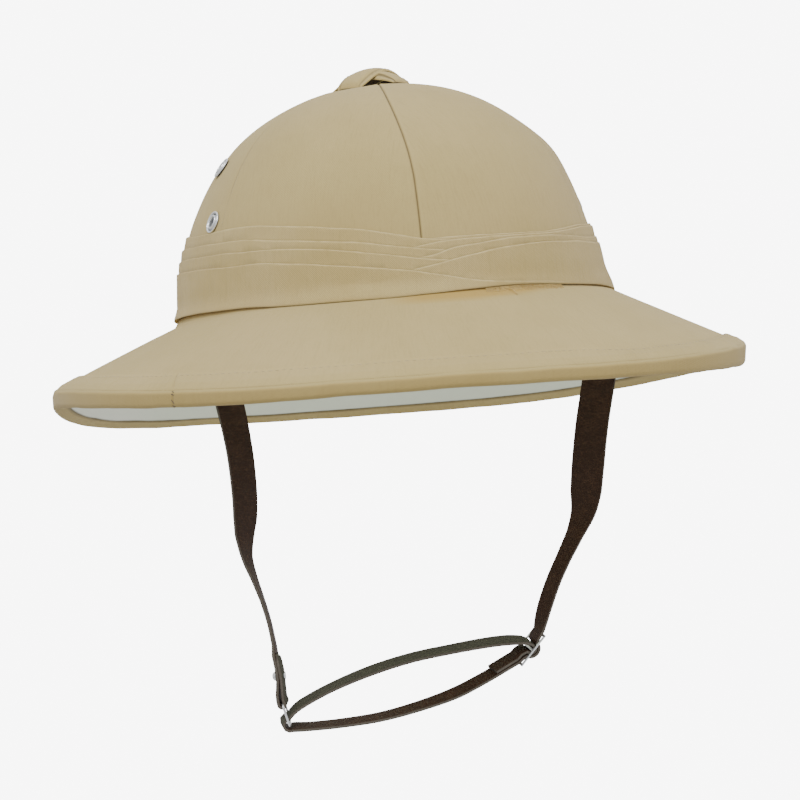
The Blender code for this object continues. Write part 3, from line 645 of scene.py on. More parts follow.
def brim_point(angle, out, height):
    foot = oval(CROWN_HALF_WIDTH, CROWN_HALF_LENGTH, angle)
    rim = oval(RIM_HALF_WIDTH, RIM_HALF_LENGTH, angle)
    plan = foot + (rim - foot).normalized() * out
    return Vector((plan.x, plan.y, height))


def brim_slope(angle):
    rim_top = rim_height(angle) + rim_face(angle) - BINDING_CLOTH - CLEARANCE
    run = brim_span(angle) - BINDING_CLOTH - CLEARANCE - BRIM_SHOULDER
    return (-BRIM_SHOULDER_DROP - rim_top) / run


def brim_root(angle, out):
    """How far the brim's top sinks beside the crown, most of all on the left."""
    degrees = math.degrees(angle)
    sunk = MM * sum(drop * bell(turn_apart(degrees, at), turn) for at, turn, drop in ROOT_DROPS)
    share = min(max(out / brim_span(angle), 0.0), 1.0)
    return sunk * ease((out - BRIM_SHOULDER) / ROOT_RUN) * (1.0 - share) ** 1.3


def brim_top(angle, out):
    fall = brim_slope(angle) * max(0.0, out - BRIM_SHOULDER)
    return -BRIM_SHOULDER_DROP - fall - brim_root(angle, out)


def brim_under(angle, out):
    rim_bottom = rim_height(angle) + BINDING_CLOTH + CLEARANCE
    run = brim_span(angle) - BINDING_CLOTH - CLEARANCE - max(out, BRIM_SHOULDER)
    return rim_bottom + brim_slope(angle) * run


# Crown

PANELS = 6
SEAM_TURN = 60.0
SEAM_WIDTH = 0.5 * MM
SEAM_DEPTH = 0.5 * MM
SEAM_ALLOWANCE = 5.0 * MM
FAINT_SEAM = 0.28
LAP_NEAR = 0.5 * MM
LAP_FAR = 1.5 * MM


def seam_angle(panel, height):
    """Where the seam before a panel runs. It leans towards the left near the top."""
    lean = -6.0 * max(0.0, height / CROWN_HEIGHT - 0.45) ** 2 / 0.25
    return math.radians(SEAM_TURN * panel + 0.3 + lean)


def panel_shares():
    """Places across a panel from 0 to 1, closer together beside its seams."""
    near = (0.0, 0.0035, 0.007, 0.011, 0.016, 0.023, 0.035, 0.055)
    middle = [0.055 + 0.89 * step / 22 for step in range(1, 22)]
    return list(near) + middle + [1.0 - share for share in reversed(near[1:])]


def seam_strength(panel, share, point):
    """How plainly a seam shows: the front one in full, the others faintly and broken."""
    seam = panel if share < 0.5 else (panel + 1) % PANELS
    if seam == 0:
        return 1.0
    return FAINT_SEAM * ease(0.6 + ripple(point, 0.009, 1.6, 4.0))


def crown_mesh():
    vent = math.acos(VENT_HALF_WIDTH / CROWN_HALF_WIDTH)
    climbs = [vent * step / 70 for step in range(71)]
    columns = [(panel, share) for panel in range(PANELS) for share in panel_shares()]
    sections = []
    beside = []
    lap_highlights = []
    for panel, share in columns:
        outside = []
        inside = []
        near = []
        lap = []
        for climb in climbs:
            height = CROWN_HEIGHT * math.sin(climb) ** (2.0 / CROWN_POWER)
            width = math.cos(climb)
            low = seam_angle(panel, height)
            high = seam_angle(panel + 1, height)
            angle = low + (high - low) * share
            wide = width * (CROWN_HALF_WIDTH + CROWN_HALF_LENGTH) * 0.5
            gap = min(share, 1.0 - share) * (high - low) * wide
            plan = oval(CROWN_HALF_WIDTH * width, CROWN_HALF_LENGTH * width, angle)
            point = Vector((plan.x, plan.y, height))
            strength = seam_strength(panel, share, point)
            groove = bell(gap, SEAM_WIDTH) * SEAM_DEPTH * strength
            lip = math.exp(-((gap / SEAM_ALLOWANCE) ** 4)) * 0.12 * MM
            ridge = bell(gap - 1.0 * MM, 0.7 * MM) * strength if share < 0.5 else 0.0
            lip += ridge * 0.18 * MM
            out = lip - groove + ripple(point, 0.035, 0.25 * MM) + ripple(point, 0.012, 0.06 * MM)
            out += crown_push(angle, height)
            point.z -= top_drop(point.x, point.y)
            outward = Vector((plan.x, plan.y, height * 0.9)).normalized()
            outside.append(point + outward * out)
            near.append(bell(gap, 0.38 * MM) * strength)
            # Painted highlight: a pale line along the ridge beside each seam, through the fold field.
            lap.append(ridge * 0.35)
            inner = oval(
                (CROWN_HALF_WIDTH - CROWN_WALL) * width,
                (CROWN_HALF_LENGTH - CROWN_WALL) * width,
                angle,
            )
            rise = (CROWN_HEIGHT - CROWN_WALL) / CROWN_HEIGHT
            inside.append(Vector((inner.x, inner.y, height * rise)))
        sections.append(outside + list(reversed(inside)))
        beside.append(near)
        lap_highlights.append(lap)
    steps = len(climbs)
    rise = [math.pi * 0.5 * CROWN_HEIGHT * climb / vent for climb in climbs]

    def cloth(i, j):
        panel, share = columns[i % len(columns)]
        if i >= len(columns):
            panel, share = PANELS - 1, 1.0
        j = j % (2 * steps)
        step = j if j < steps else 2 * steps - 1 - j
        wide = math.cos(climbs[step]) * CROWN_HALF_LENGTH * math.radians(SEAM_TURN)
        return (panel * 0.31 + (share - 0.5) * wide, rise[step])

    fields = {
        "seam": lambda i, j: beside[i][j] if j < steps else 0.0,
        "fold": lambda i, j: lap_highlights[i][j] if j < steps else 0.0,
        "lined": lambda i, j: 1.0 if j >= steps else 0.0,
    }
    return swept("crown_body", sections, cloth, fields=fields)


def even_turns(count):
    return [math.tau * step / count - math.pi for step in range(count)]


def ring_mesh(name, turns, section, radius, fields=None):
    """A ring round the hat through section(angle), with its cloth map in metres."""
    sections = [section(angle) for angle in turns]
    lengths = [0.0]
    middle = sections[len(turns) // 2]
    for a, b in zip(middle, middle[1:] + middle[:1]):
        lengths.append(lengths[-1] + (b - a).length)
    ends = turns + [turns[0] + math.tau]

    def cloth(i, j):
        return (radius * ends[i], lengths[j])

    return swept(name, sections, cloth, fields=fields)


# Brim, lining and binding

BRIM_STEPS = 26
BRIM_ROOT_STEPS = 6
RIM_ROUNDING = 3.6 * MM
RIM_LOW_ROUNDING = 2.0 * MM
RIM_TOP_SHARE = 0.25
RIM_SAG_ROUNDS = 0.5
RIM_SAG_TUCKS = 0.3
# Painted shade on the rim's face at the front, and the warm tint of that painted shade.
RIM_FACE_SHADE = 0.19
RIM_FACE_SHADE_TINT = 0.26
JOINT_INNER_ANGLE = -46.0
JOINT_RIM_ANGLE = -43.5
JOINT_GROOVE = 0.45 * MM
UNDER_NARROWING = 1.3 * MM
UNDER_NARROW_ANGLE = -140.0
UNDER_NARROW_TURN = 45.0
LUMPY_ANGLE = 72.0
LUMPY_TURN = 24.0


def brim_outs(angle):
    """The distances from the crown of the rows of the brim's top."""
    edge = brim_span(angle) - BINDING_CLOTH - CLEARANCE
    near = BRIM_SHOULDER + ROOT_RUN * 1.2
    root = [BRIM_SHOULDER + ROOT_RUN * 1.2 * step / BRIM_ROOT_STEPS for step in range(BRIM_ROOT_STEPS)]
    rest = [near + (edge - near) * step / BRIM_STEPS for step in range(BRIM_STEPS + 1)]
    return [-CROWN_WALL, 0.0] + root + rest


def brim_section(angle):
    outs = brim_outs(angle)
    inner, edge = outs[0], outs[-1]
    points = []
    for out in outs:
        point = brim_point(angle, out, 0.0)
        rise = ripple(point, 0.045, 0.5 * MM, 3.0) * ease((out - 6.0 * MM) / 0.02)
        height = brim_top(angle, out) if out > BRIM_SHOULDER else -CLEARANCE
        point.z = height + min(rise, 0.15 * MM)
        points.append(point)
    points.append(brim_point(angle, edge, brim_under(angle, edge)))
    points.append(brim_point(angle, BRIM_SHOULDER, brim_under(angle, BRIM_SHOULDER)))
    points.append(brim_point(angle, inner, brim_under(angle, inner)))
    return points


def lining_section(angle):
    outer = brim_span(angle) - under_width(angle) - CLEARANCE
    outs = [-CROWN_WALL, BRIM_SHOULDER]
    outs += [BRIM_SHOULDER + (outer - BRIM_SHOULDER) * step / 14 for step in range(1, 14)]
    outs += [outer - 0.8 * MM, outer]
    upper = [brim_point(angle, out, brim_under(angle, out) - CLEARANCE) for out in outs]
    lower = []
    for out in reversed(outs):
        point = brim_point(angle, out, brim_under(angle, out) - CLEARANCE - LINING_CLOTH)
        point.z -= abs(ripple(point, 0.03, 0.35 * MM, 5.0)) + abs(ripple(point, 0.009, 0.08 * MM, 1.0))
        lower.append(point)
    return upper + lower


def lining_edge(i, j):
    """The row beside the binding, darkened as a painted shadow line."""
    return 1.0 if j in (16, 17) else 0.0


def binding_width(angle):
    """How far the binding reaches over the brim's top, less on the right."""
    degrees = math.degrees(angle)
    return BINDING_TOP_WIDTH - 3.6 * MM * ease((degrees - 20.0) / 14.0) * ease((170.0 - degrees) / 40.0)


def under_width(angle):
    """How far the binding reaches underneath, less at the back left."""
    turned = turn_apart(math.degrees(angle), UNDER_NARROW_ANGLE)
    return BINDING_UNDER_WIDTH - UNDER_NARROWING * bell(turned, UNDER_NARROW_TURN)


def joint_angle(angle, out):
    """Where the binding's joint runs, leaning on the brim and upright on the rim."""
    inside = min(max((brim_span(angle) - out) / BINDING_TOP_WIDTH, 0.0), 1.0)
    return math.radians(JOINT_RIM_ANGLE + (JOINT_INNER_ANGLE - JOINT_RIM_ANGLE) * inside)


def joint_gap(angle, out):
    """The distance along the rim from the binding's joint."""
    return abs(angle - joint_angle(angle, out)) * RIM_HALF_LENGTH


def binding_outline(angle):
    """The folded tape's outer face as (out, height), from the brim's top to underneath."""
    span = brim_span(angle)
    far = CLEARANCE + BINDING_CLOTH
    edge = span - far
    top_edge = span - binding_width(angle)
    under_edge = span - under_width(angle)
    sag = curve_height(RIM_SAGS, math.degrees(angle)) * MM
    lift = far + sag * RIM_TOP_SHARE
    top = brim_top(angle, span) + lift
    bottom = brim_under(angle, edge) - far - sag
    slope = math.atan(brim_slope(angle))
    outer = [(top_edge, brim_top(angle, top_edge) + far - 0.55 * MM)]
    outer.append((top_edge + 0.25 * MM, brim_top(angle, top_edge) + lift - 0.1 * MM))
    for step in range(1, 7):
        out = top_edge + (span - RIM_ROUNDING - top_edge) * step / 6
        outer.append((out, brim_top(angle, out) + lift))
    raised = RIM_ROUNDING * math.sin(slope) * 0.35
    centre = (span - RIM_ROUNDING, top - RIM_ROUNDING + raised)
    for step in range(1, 8):
        turn = (math.radians(90.0) - slope) * (1.0 - step / 7)
        outer.append(
            (centre[0] + RIM_ROUNDING * math.cos(turn), centre[1] + RIM_ROUNDING * math.sin(turn))
        )
    rounding = RIM_LOW_ROUNDING + sag * RIM_SAG_ROUNDS
    low = (span - rounding - sag * RIM_SAG_TUCKS, bottom + rounding)
    for step in range(6):
        turn = -math.radians(90.0) * step / 5
        outer.append((low[0] + rounding * math.cos(turn), low[1] + rounding * math.sin(turn)))
    for step in range(1, 4):
        out = low[0] + (under_edge - low[0]) * step / 3
        outer.append((out, brim_under(angle, out) - far - sag * (1.0 - 0.8 * step / 3)))
    return outer


def binding_skin(angle):
    """The outer face with its lumps and the dip at its joint."""
    lumps = 1.0 + 1.6 * bell(math.degrees(angle) - LUMPY_ANGLE, LUMPY_TURN)
    points = []
    for out, height in binding_outline(angle):
        point = brim_point(angle, out, height)
        swell = ripple(point, 0.018, 0.30 * MM * lumps, 9.0) + ripple(point, 0.006, 0.07 * MM, 2.0)
        dip = bell(joint_gap(angle, out), 0.6 * MM) * JOINT_GROOVE
        away = brim_point(angle, out + MM, height) - brim_point(angle, out, height)
        point += away.normalized() * (max(-0.3 * MM, swell * 0.5) - 0.3 * MM - dip)
        point.z += max(-0.1 * MM, swell) - dip * 0.5
        points.append(point)
    return points


def binding_section(angle):
    """A soft folded tape: its inner face on the brim, its outer face rounded."""
    span = brim_span(angle)
    edge = span - CLEARANCE - BINDING_CLOTH
    top_edge = span - binding_width(angle)
    under_edge = span - under_width(angle)
    inner = [
        (under_edge, brim_under(angle, under_edge) - CLEARANCE),
        (edge, brim_under(angle, edge) - CLEARANCE),
        (edge + CLEARANCE * 0.5, brim_under(angle, edge)),
        (edge + CLEARANCE * 0.5, brim_top(angle, edge)),
        (edge, brim_top(angle, edge) + CLEARANCE),
        (top_edge, brim_top(angle, top_edge) + CLEARANCE),
    ]
    return binding_skin(angle) + [brim_point(angle, out, height) for out, height in inner]


def binding_turns():
    """Angles round the rim, close together at the joint."""
    joint = [math.radians(-47.2 + 0.11 * step) for step in range(45)]
    return sorted([turn for turn in even_turns(480) if not joint[0] <= turn <= joint[-1]] + joint)


def front_share(angle):
    """1 on the hat's front half and 0 at its back."""
    return ease((math.cos(angle) + 0.35) / 0.5)


def binding_mesh():
    turns = binding_turns()
    outlines = [binding_outline(angle) for angle in turns]
    count = len(outlines[0])

    def seam(i, j):
        if j >= count:
            return 0.0
        line = bell(joint_gap(turns[i], outlines[i][j][0]), 0.30 * MM) * 0.22
        plain = ease((math.degrees(turns[i]) + 20.0) / 40.0)
        deep = 0.35 * bell(math.degrees(turns[i]) - LUMPY_ANGLE, LUMPY_TURN)
        # Painted shadow lines along the tape's edges, deeper where it is lumpy. The joint line above is the
        # real dark joint.
        edge = {0: 0.1 + 0.5 * plain + deep, 1: deep, count - 1: 0.9}.get(j, 0.0)
        # Painted shade on the rim's face at the front.
        face = RIM_FACE_SHADE * front_share(turns[i]) if 13 <= j <= count - 2 else 0.0
        return max(line, edge, face)

    # Painted highlights on the rounded top corner and on the tape's lip.
    def fold(i, j):
        return 0.3 if j in (10, 11) else (0.2 if j in (1, 2) else 0.0)

    # A warm tint of the painted shade on the rim's face at the front.
    def golden(i, j):
        return RIM_FACE_SHADE_TINT * front_share(turns[i]) if 12 <= j <= count - 2 else 0.0

    fields = {"seam": seam, "fold": fold, "golden": golden}
    return ring_mesh("binding_tape", turns, binding_section, 0.165, fields)


def on_binding(angle, across, lift):
    """A point that stands over the binding's skin at a share across it."""
    skin = binding_skin(angle)
    place = across * (len(skin) - 1)
    step = min(int(place), len(skin) - 2)
    point = skin[step].lerp(skin[step + 1], place - step)
    run = (skin[step + 1] - skin[step]).normalized()
    ahead = brim_point(angle + 0.01, 0.05, 0.0) - brim_point(angle - 0.01, 0.05, 0.0)
    return point + ahead.cross(run).normalized() * -lift


# Puggaree

PUGGAREE_GAP = 0.5 * MM
PUGGAREE_CLOTH = 3.4 * MM
PUGGAREE_FLARE = 5.0 * MM
PUGGAREE_RIGHT_FLARE = 9.0 * MM
PUGGAREE_RIGHT_THIN = 0.32
PUGGAREE_RIGHT = 85.0
PUGGAREE_RIGHT_TURN = 26.0
PUGGAREE_RADIUS = 0.107
PLEAT_LIP = 0.35 * MM
FOLD_FADE = 0.8
PLEAT_COVER = 1.2 * MM
PLEAT_FADE = 2.5 * MM
PARK_TURN = 25.0
PARK_DROP = 0.5

BAND_HEM = (
    # angle, how far the lower edge stands out from the crown, in mm
    (-180, 4.6), (-46, 4.6), (-38, 4.7), (-30, 5.3), (-20, 5.9), (-8, 6.1), (2, 4.9), (10, 4.2),
    (25, 3.2), (40, 3.1), (53, 3.2), (70, 4.2), (80, 5.2), (88, 5.6), (110, 4.8), (180, 4.6),
)
BAND_LIFT = (
    # angle, how far the lower edge is lifted off the brim, in mm
    (-180, 0.0), (-150, 0.2), (-130, 1.0), (-110, 2.3), (-90, 3.0), (-70, 2.85), (-58, 2.1),
    (-46, 1.35), (-38, 0.3), (-30, 0.0), (2, 0.0), (10, 0.4), (25, 1.05), (40, 0.7), (53, 0.6),
    (70, 0.5), (80, 0.5), (88, 0.6), (110, 0.0), (180, 0.0),
)

# The edge of each pleat, from its hidden inner end at the front once round by the right
# and the back to its outer end at the front. Places are in degrees, heights in mm.
PLEATS = (
    # (place, height) of the top pleat
    (
        (-40, 18.0), (-10, 20.5), (0, 21.9), (11, 22.4), (25, 22.6), (41, 24.1), (49, 26.2),
        (62, 28.4), (82, 30.9), (110, 33.0), (150, 33.2), (180, 33.5), (225, 36.0), (262, 37.6),
        (288, 35.0), (298, 34.8), (308, 35.0), (331, 31.4), (345, 27.7), (360, 22.4),
        (366, 21.3), (372, 20.0), (385, 17.0),
    ),
    # (place, height) of the second pleat
    (
        (-20, 12.0), (-2, 18.3), (5, 20.2), (12, 21.2), (25, 22.0), (41, 23.4), (62, 27.3),
        (82, 29.4), (110, 29.8), (150, 28.0), (180, 26.8), (225, 29.6), (262, 31.3), (288, 30.1),
        (310, 28.9), (330, 25.1), (344, 22.3), (360, 17.7), (368, 16.0), (376, 13.5),
    ),
    # (place, height) of the third pleat
    (
        (-12, 9.0), (-2, 13.6), (3, 14.8), (9, 17.7), (17, 19.2), (27, 21.0), (44, 21.8),
        (57, 21.6), (82, 24.4), (120, 22.8), (150, 21.0), (180, 20.0), (225, 23.6), (262, 25.6),
        (286, 25.0), (311, 23.6), (329, 21.7), (344, 18.1), (360, 13.5), (368, 11.8), (376, 9.5),
    ),
    # (place, height) of the lowest pleat
    (
        (-14, 4.0), (-2, 9.0), (6, 11.6), (13, 14.0), (21, 16.5), (34, 18.3), (48, 19.5),
        (61, 19.5), (82, 21.3), (110, 18.8), (150, 14.2), (180, 12.3), (225, 17.2), (262, 20.4),
        (303, 18.1), (321, 17.0), (336, 13.7), (356, 8.8), (365, 5.8), (372, 3.2), (384, 1.7),
        (420, 0.3),
    ),
)


def pleat_edges(angle):
    """The eight pleat edges at an angle as (height, share that shows), innermost first."""
    degrees = math.degrees(angle)
    edges = []
    for pleat, table in enumerate(PLEATS):
        start = table[0][0]
        end = table[-1][0] - 360.0
        seat = Vector((math.sin(angle), math.cos(angle), pleat * 3.0))
        wobble = ripple(seat, 0.16, 0.35) + ripple(seat, 0.05, 0.12, 6.0)
        inner = curve_height(table, max(degrees, start)) + wobble
        outer = curve_height(table, min(degrees, end) + 360.0) + wobble
        hidden = min(max((start - degrees) / PARK_TURN, 0.0), 1.0)
        past = min(max((degrees - end) / PARK_TURN, 0.0), 1.0)
        parked_inner = inner + (outer - PARK_DROP - inner) * hidden
        parked_outer = outer + (inner - PARK_DROP - outer) * past
        edges.append((parked_inner, ease((degrees - start - 4.0) / 5.0)))
        edges.append((parked_outer, 1.0 - ease((degrees - end + 6.0) / 6.0)))
    shown = []
    for level, (height, presence) in enumerate(edges):
        over = max([0.0] + [h if p > 0.5 else 0.0 for h, p in edges[level + 1:]])
        clear = ease((height - over) * MM / PLEAT_COVER) * ease(height * MM / PLEAT_FADE)
        shown.append((height * MM, presence * clear))
    return shown


def pleat_lip(depth):
    """How far a pleat stands proud at a depth under its edge: a round lip, then a slope."""
    if depth <= 0.0:
        return 0.0
    if depth < PLEAT_LIP:
        return math.sqrt(1.0 - (1.0 - depth / PLEAT_LIP) ** 2)
    return 1.0 - 0.30 * ease((depth - PLEAT_LIP) / (6.0 * MM))


def band_hem(angle):
    """The band's lower edge as (out, height)."""
    degrees = math.degrees(angle)
    out = curve_height(BAND_HEM, degrees) * MM
    lift = max(0.0, curve_height(BAND_LIFT, degrees)) * MM
    return out, brim_top(angle, out) + CLEARANCE + lift


def right_side(angle):
    """1 in the middle of the hat's right side, where the band lies tighter."""
    return bell(turn_apart(math.degrees(angle), PUGGAREE_RIGHT), PUGGAREE_RIGHT_TURN)


def band_out(angle, height, edges):
    """How far the band's face stands off the crown at a height."""
    showing = sum(share for level, share in edges)
    right = right_side(angle)
    layer = PUGGAREE_CLOTH * (1.0 - PUGGAREE_RIGHT_THIN * right) / max(showing, 3.6)
    out = PUGGAREE_GAP + layer * sum(share * pleat_lip(level - height) for level, share in edges)
    hem_out, hem = band_hem(angle)
    from_height = PUGGAREE_FLARE + PUGGAREE_RIGHT_FLARE * right
    flare = ease((from_height - height) / (from_height - hem))
    return out + max(0.0, hem_out - out) * flare


def band_heights(angle, edges):
    """The heights of the face's rows from its top down, close together at each edge."""
    top = max(level for level, share in edges)
    foot = band_hem(angle)[1]
    steps = (0.14, 0.0, -0.05, -0.16, -0.36, -0.9)
    heights = [level + step * MM for level, share in edges for step in steps]
    heights += [foot + (top - foot) * share / 13 for share in range(1, 13)]
    heights += [foot + step * MM for step in (0.12, 0.45, 0.9, 1.6)]
    heights = sorted((min(height, top) for height in heights), reverse=True)
    floor = foot + 0.12 * MM
    least = 0.012 * MM
    count = len(heights)
    for i in range(1, count):
        heights[i] = min(heights[i], heights[i - 1] - least)
    heights[-1] = max(heights[-1], floor)
    for i in range(count - 2, -1, -1):
        heights[i] = max(heights[i], heights[i + 1] + least)
    return heights


def fold_fade(angle):
    """How faint the painted highlights on the folds' edges are at the sides."""
    degrees = math.degrees(angle)
    return FOLD_FADE * (bell(degrees + 88.0, 30.0) + 0.7 * bell(degrees - 84.0, 22.0))


def band_place(angle, height, out):
    if height > 0.0:
        return crown_point(angle, height, out)
    return brim_point(angle, out, height)


def puggaree_mesh():
    turns = even_turns(720)
    sections = []
    edge_highlights = []
    creases = []
    for angle in turns:
        edges = pleat_edges(angle)
        heights = band_heights(angle, edges)
        top = heights[0]
        face = []
        fold = []
        painted_shade_line = []
        hem_shade = 0.6 - 0.35 * ease((math.degrees(angle) - 25.0) / 20.0)
        for height in heights:
            point = band_place(angle, height, band_out(angle, height, edges))
            flat = Vector((point.x, point.y, 0.0)).normalized()
            soft = ripple(Vector((point.x, point.y, point.z * 2.5)), 0.022, 0.30 * MM, 2.0)
            face.append(point + flat * soft * ease((top - height) / (1.5 * MM)))
            # Painted highlights on the pleat edges, broken up and faded at the sides, and painted shade just
            # below each edge.
            lights = [share * bell(level - height - 0.18 * MM, 0.22 * MM) for level, share in edges]
            edge_shades = [share * bell(level - height + 0.22 * MM, 0.22 * MM) for level, share in edges]
            highlight_strength = 0.65 + ripple(point, 0.003, 0.9, 7.0) - fold_fade(angle)
            fold.append(max(lights) * min(max(highlight_strength, 0.0), 1.0))
            dark = 0.32 * max(edge_shades)
            # Painted shadow: a dark line along the band's lower edge.
            under = hem_shade * bell(height - heights[-1], 0.35 * MM)
            painted_shade_line.append(max(dark, under))
        hem_out, hem = band_hem(angle)
        seat = CLEARANCE - BRIM_SHOULDER_DROP
        under = [
            brim_point(angle, hem_out - 0.35 * MM, hem - 0.02 * MM),
            brim_point(angle, BRIM_SHOULDER, seat),
            brim_point(angle, PUGGAREE_GAP, seat),
        ]
        inner = [crown_point(angle, top * share, PUGGAREE_GAP) for share in (0.2, 0.4, 0.6, 0.8, 0.97)]
        sections.append(face + under + inner)
        edge_highlights.append(fold)
        creases.append(painted_shade_line)
    count = len(edge_highlights[0])
    ends = turns + [math.pi]

    def cloth(i, j):
        j = j % len(sections[0])
        height = sections[i % len(turns)][j].z
        return (PUGGAREE_RADIUS * ends[i], height if j < count else height - 0.05)

    # The fold field carries the painted highlights and the seam field the painted shade.
    fields = {
        "fold": lambda i, j: edge_highlights[i][j] if j < count else 0.0,
        "seam": lambda i, j: creases[i][j] if j < count else 0.0,
    }
    return swept("puggaree_cloth", sections, cloth, fields=fields)


# Loose ends under the band at the front right

FRAY_FROM = 15.0
FRAY_TO = 39.0
FRAY_THREADS = 230
FRAY_RADIUS = 0.08 * MM
LOOSE_RADIUS = 0.24 * MM
GOLDEN_TINT_REACH = 12.0 * MM
GOLDEN_TINT_NARROWS = 0.22 * MM


def golden_brim_tint(angle, out):
    """How strongly the brim takes a golden tint beside the band at the front right."""
    degrees = math.degrees(angle)
    reach = GOLDEN_TINT_REACH - GOLDEN_TINT_NARROWS * max(0.0, degrees - 12.0)
    across = ease((reach - out) / (3.5 * MM)) * ease((out - 1.0 * MM) / MM)
    return across * ease((degrees + 12.0) / 12.0) * ease((36.0 - degrees) / 12.0)


def frayed_threads():
    """Short cut threads that hang from the band's lifted edge onto the brim."""
    chance = random.Random(11)
    lines = []
    for thread in range(FRAY_THREADS):
        degrees = FRAY_FROM + (FRAY_TO - FRAY_FROM) * (thread + chance.random()) / FRAY_THREADS
        angle = math.radians(degrees)
        hem_out, hem = band_hem(angle)
        reach = chance.uniform(0.6, 2.9) * MM
        drift = chance.uniform(-0.7, 0.7) * MM / 0.13
        first = hem - chance.uniform(0.05, 0.25) * MM
        line = []
        for step in range(5):
            share = step / 4
            out = hem_out - 0.4 * MM + reach * share
            seat = brim_top(angle, out) + 0.1 * MM
            height = max(seat, first + (seat - first) * ease(share * 1.3))
            line.append(brim_point(angle + drift * share, out, height))
        lines.append(line)
    return lines


def loose_thread():
    """One longer end of cord that lies on the brim."""
    line = []
    for step in range(9):
        share = step / 8
        out = (4.0 + 5.2 * share) * MM
        angle = math.radians(20.8 + 1.5 * share + 0.35 * math.sin(5.0 * share))
        rise = (0.45 + 0.5 * math.sin(math.pi * share)) * MM
        line.append(brim_point(angle, out, brim_top(angle, out) + rise))
    return line


# Vent strips

STRIP_WIDTH = 16.0 * MM
STRIP_CLOTH = 1.1 * MM
STRIP_REACH = 18.0 * MM
STRIP_SHIFT = -2.0 * MM
STRIP_ARCH = 0.8
STRIP_BACK_SAG = 2.4 * MM
# Where across the lower tape its painted lap shadow line runs.
LAP_LINE = 5.0 / 7.0
STRIP_STEPS = 56
STRIP_COLUMNS = 28
HEM_WIDTH = 0.78
HEM_GROOVE = 0.06
STRIP_LEFT_STRETCH = 1.07
STRIPS = {
    # piece: angle, rise, droop of the edges and skew of the near end in mm, its fullness,
    # and how far its front edge hangs in mm
    "vent_tape_lower": (45.0, 6.2, 1.4, -1.3, 0.75, 1.7),
    "vent_tape_upper": (-45.0, 7.4, 1.2, 1.7, 0.55, 1.0),
}


def dome_height(place):
    share = math.hypot(place.x / CROWN_HALF_WIDTH, place.y / CROWN_HALF_LENGTH)
    plain = CROWN_HEIGHT * (1.0 - share * share) ** (1.0 / CROWN_POWER)
    return plain - top_drop(place.x, place.y)


def strip_point(strip, along_share, across_share, over):
    """A point of a vent strip, from -1 to 1 along and across it."""
    degrees, rise, droop, skew, full, hang = STRIPS[strip]
    angle = math.radians(degrees)
    along = Vector((math.sin(angle), -math.cos(angle), 0.0))
    side = Vector((0.0, 0.0, 1.0)).cross(along)
    reach = STRIP_REACH
    if along_share > 0.0:
        reach -= MM * (abs(skew) - skew * across_share)
    place = along * reach * along_share + side * (STRIP_WIDTH * 0.5 * across_share)
    place.x += STRIP_SHIFT
    if place.x < 0.0:
        place.x *= STRIP_LEFT_STRETCH
    front = ease((across_share * math.copysign(1.0, skew) - 0.55) / 0.4) if along_share > 0.0 else 0.0
    power = full + (1.0 - full) * front if along_share > 0.0 else STRIP_ARCH
    hang *= front * ease(along_share / 0.3)
    arch = math.cos(math.pi * 0.5 * along_share) ** power if abs(along_share) < 1.0 else 0.0
    sag = STRIP_BACK_SAG * ease(place.y / (9.0 * MM))
    height = dome_height(place) + CLEARANCE + ((rise - droop * across_share**2 - hang) * MM - sag) * arch
    if over:
        edge = max(0.0, abs(across_share) - 0.9) / 0.1
        end = max(0.0, abs(along_share) - 0.93) / 0.07
        hem = bell(abs(across_share) - HEM_WIDTH, HEM_GROOVE) * 0.25 * MM
        soft = ripple(Vector((place.x, place.y, rise)), 0.008, 0.3 * MM, 5.0) * (1.0 - edge)
        soft *= ease((abs(along_share) - 0.5) / 0.2)
        height += STRIP_CLOTH * (1.0 - 0.35 * edge * edge - 0.4 * end * end) - hem + soft
    return Vector((place.x, place.y, height))


def strip_mesh(name):
    shares = [2.0 * which / STRIP_COLUMNS - 1.0 for which in range(STRIP_COLUMNS + 1)]
    sections = []
    for step in range(STRIP_STEPS + 1):
        share = 2.0 * step / STRIP_STEPS - 1.0
        under = [strip_point(name, share, across, False) for across in shares]
        over = [strip_point(name, share, across, True) for across in reversed(shares)]
        sections.append(under + over)
    wide = len(shares)

    def cloth(i, j):
        return (STRIP_WIDTH * j / wide, 2.0 * STRIP_REACH * i / STRIP_STEPS)

    def seam(i, j):
        if j < wide:
            return 0.0
        across = shares[2 * wide - 1 - j]
        # Darkened hem grooves, and on the lower tape a painted shadow line along its lap.
        lap = 1.0 if name == "vent_tape_lower" and i > STRIP_STEPS // 2 else 0.0
        return max(0.6 * bell(abs(across) - HEM_WIDTH, HEM_GROOVE * 0.8), lap * bell(across + LAP_LINE, 0.03))

    fields = {
        "seam": seam,
        # Painted highlights on the tape's top edges, and painted shade on its back.
        "fold": lambda i, j: 0.6 if j in (wide, 2 * wide - 1) else 0.0,
        "painted_back_shade": lambda i, j: 1.0 if 0 < j < wide - 1 else 0.0,
    }
    return swept(name, sections, cloth, wrap=False, fields=fields)


def hem_lines(strip):
    """The two lines of stitches beside a strip's edges, a little over its cloth."""
    lines = []
    for side in (-1.0, 1.0):
        line = []
        for step in range(41):
            share = (2.0 * step / 40 - 1.0) * 0.95
            point = strip_point(strip, share, side * (HEM_WIDTH + 0.1), True)
            line.append(point + Vector((0.0, 0.0, 0.02 * MM)))
        lines.append(line)
    return lines


# Eyelets

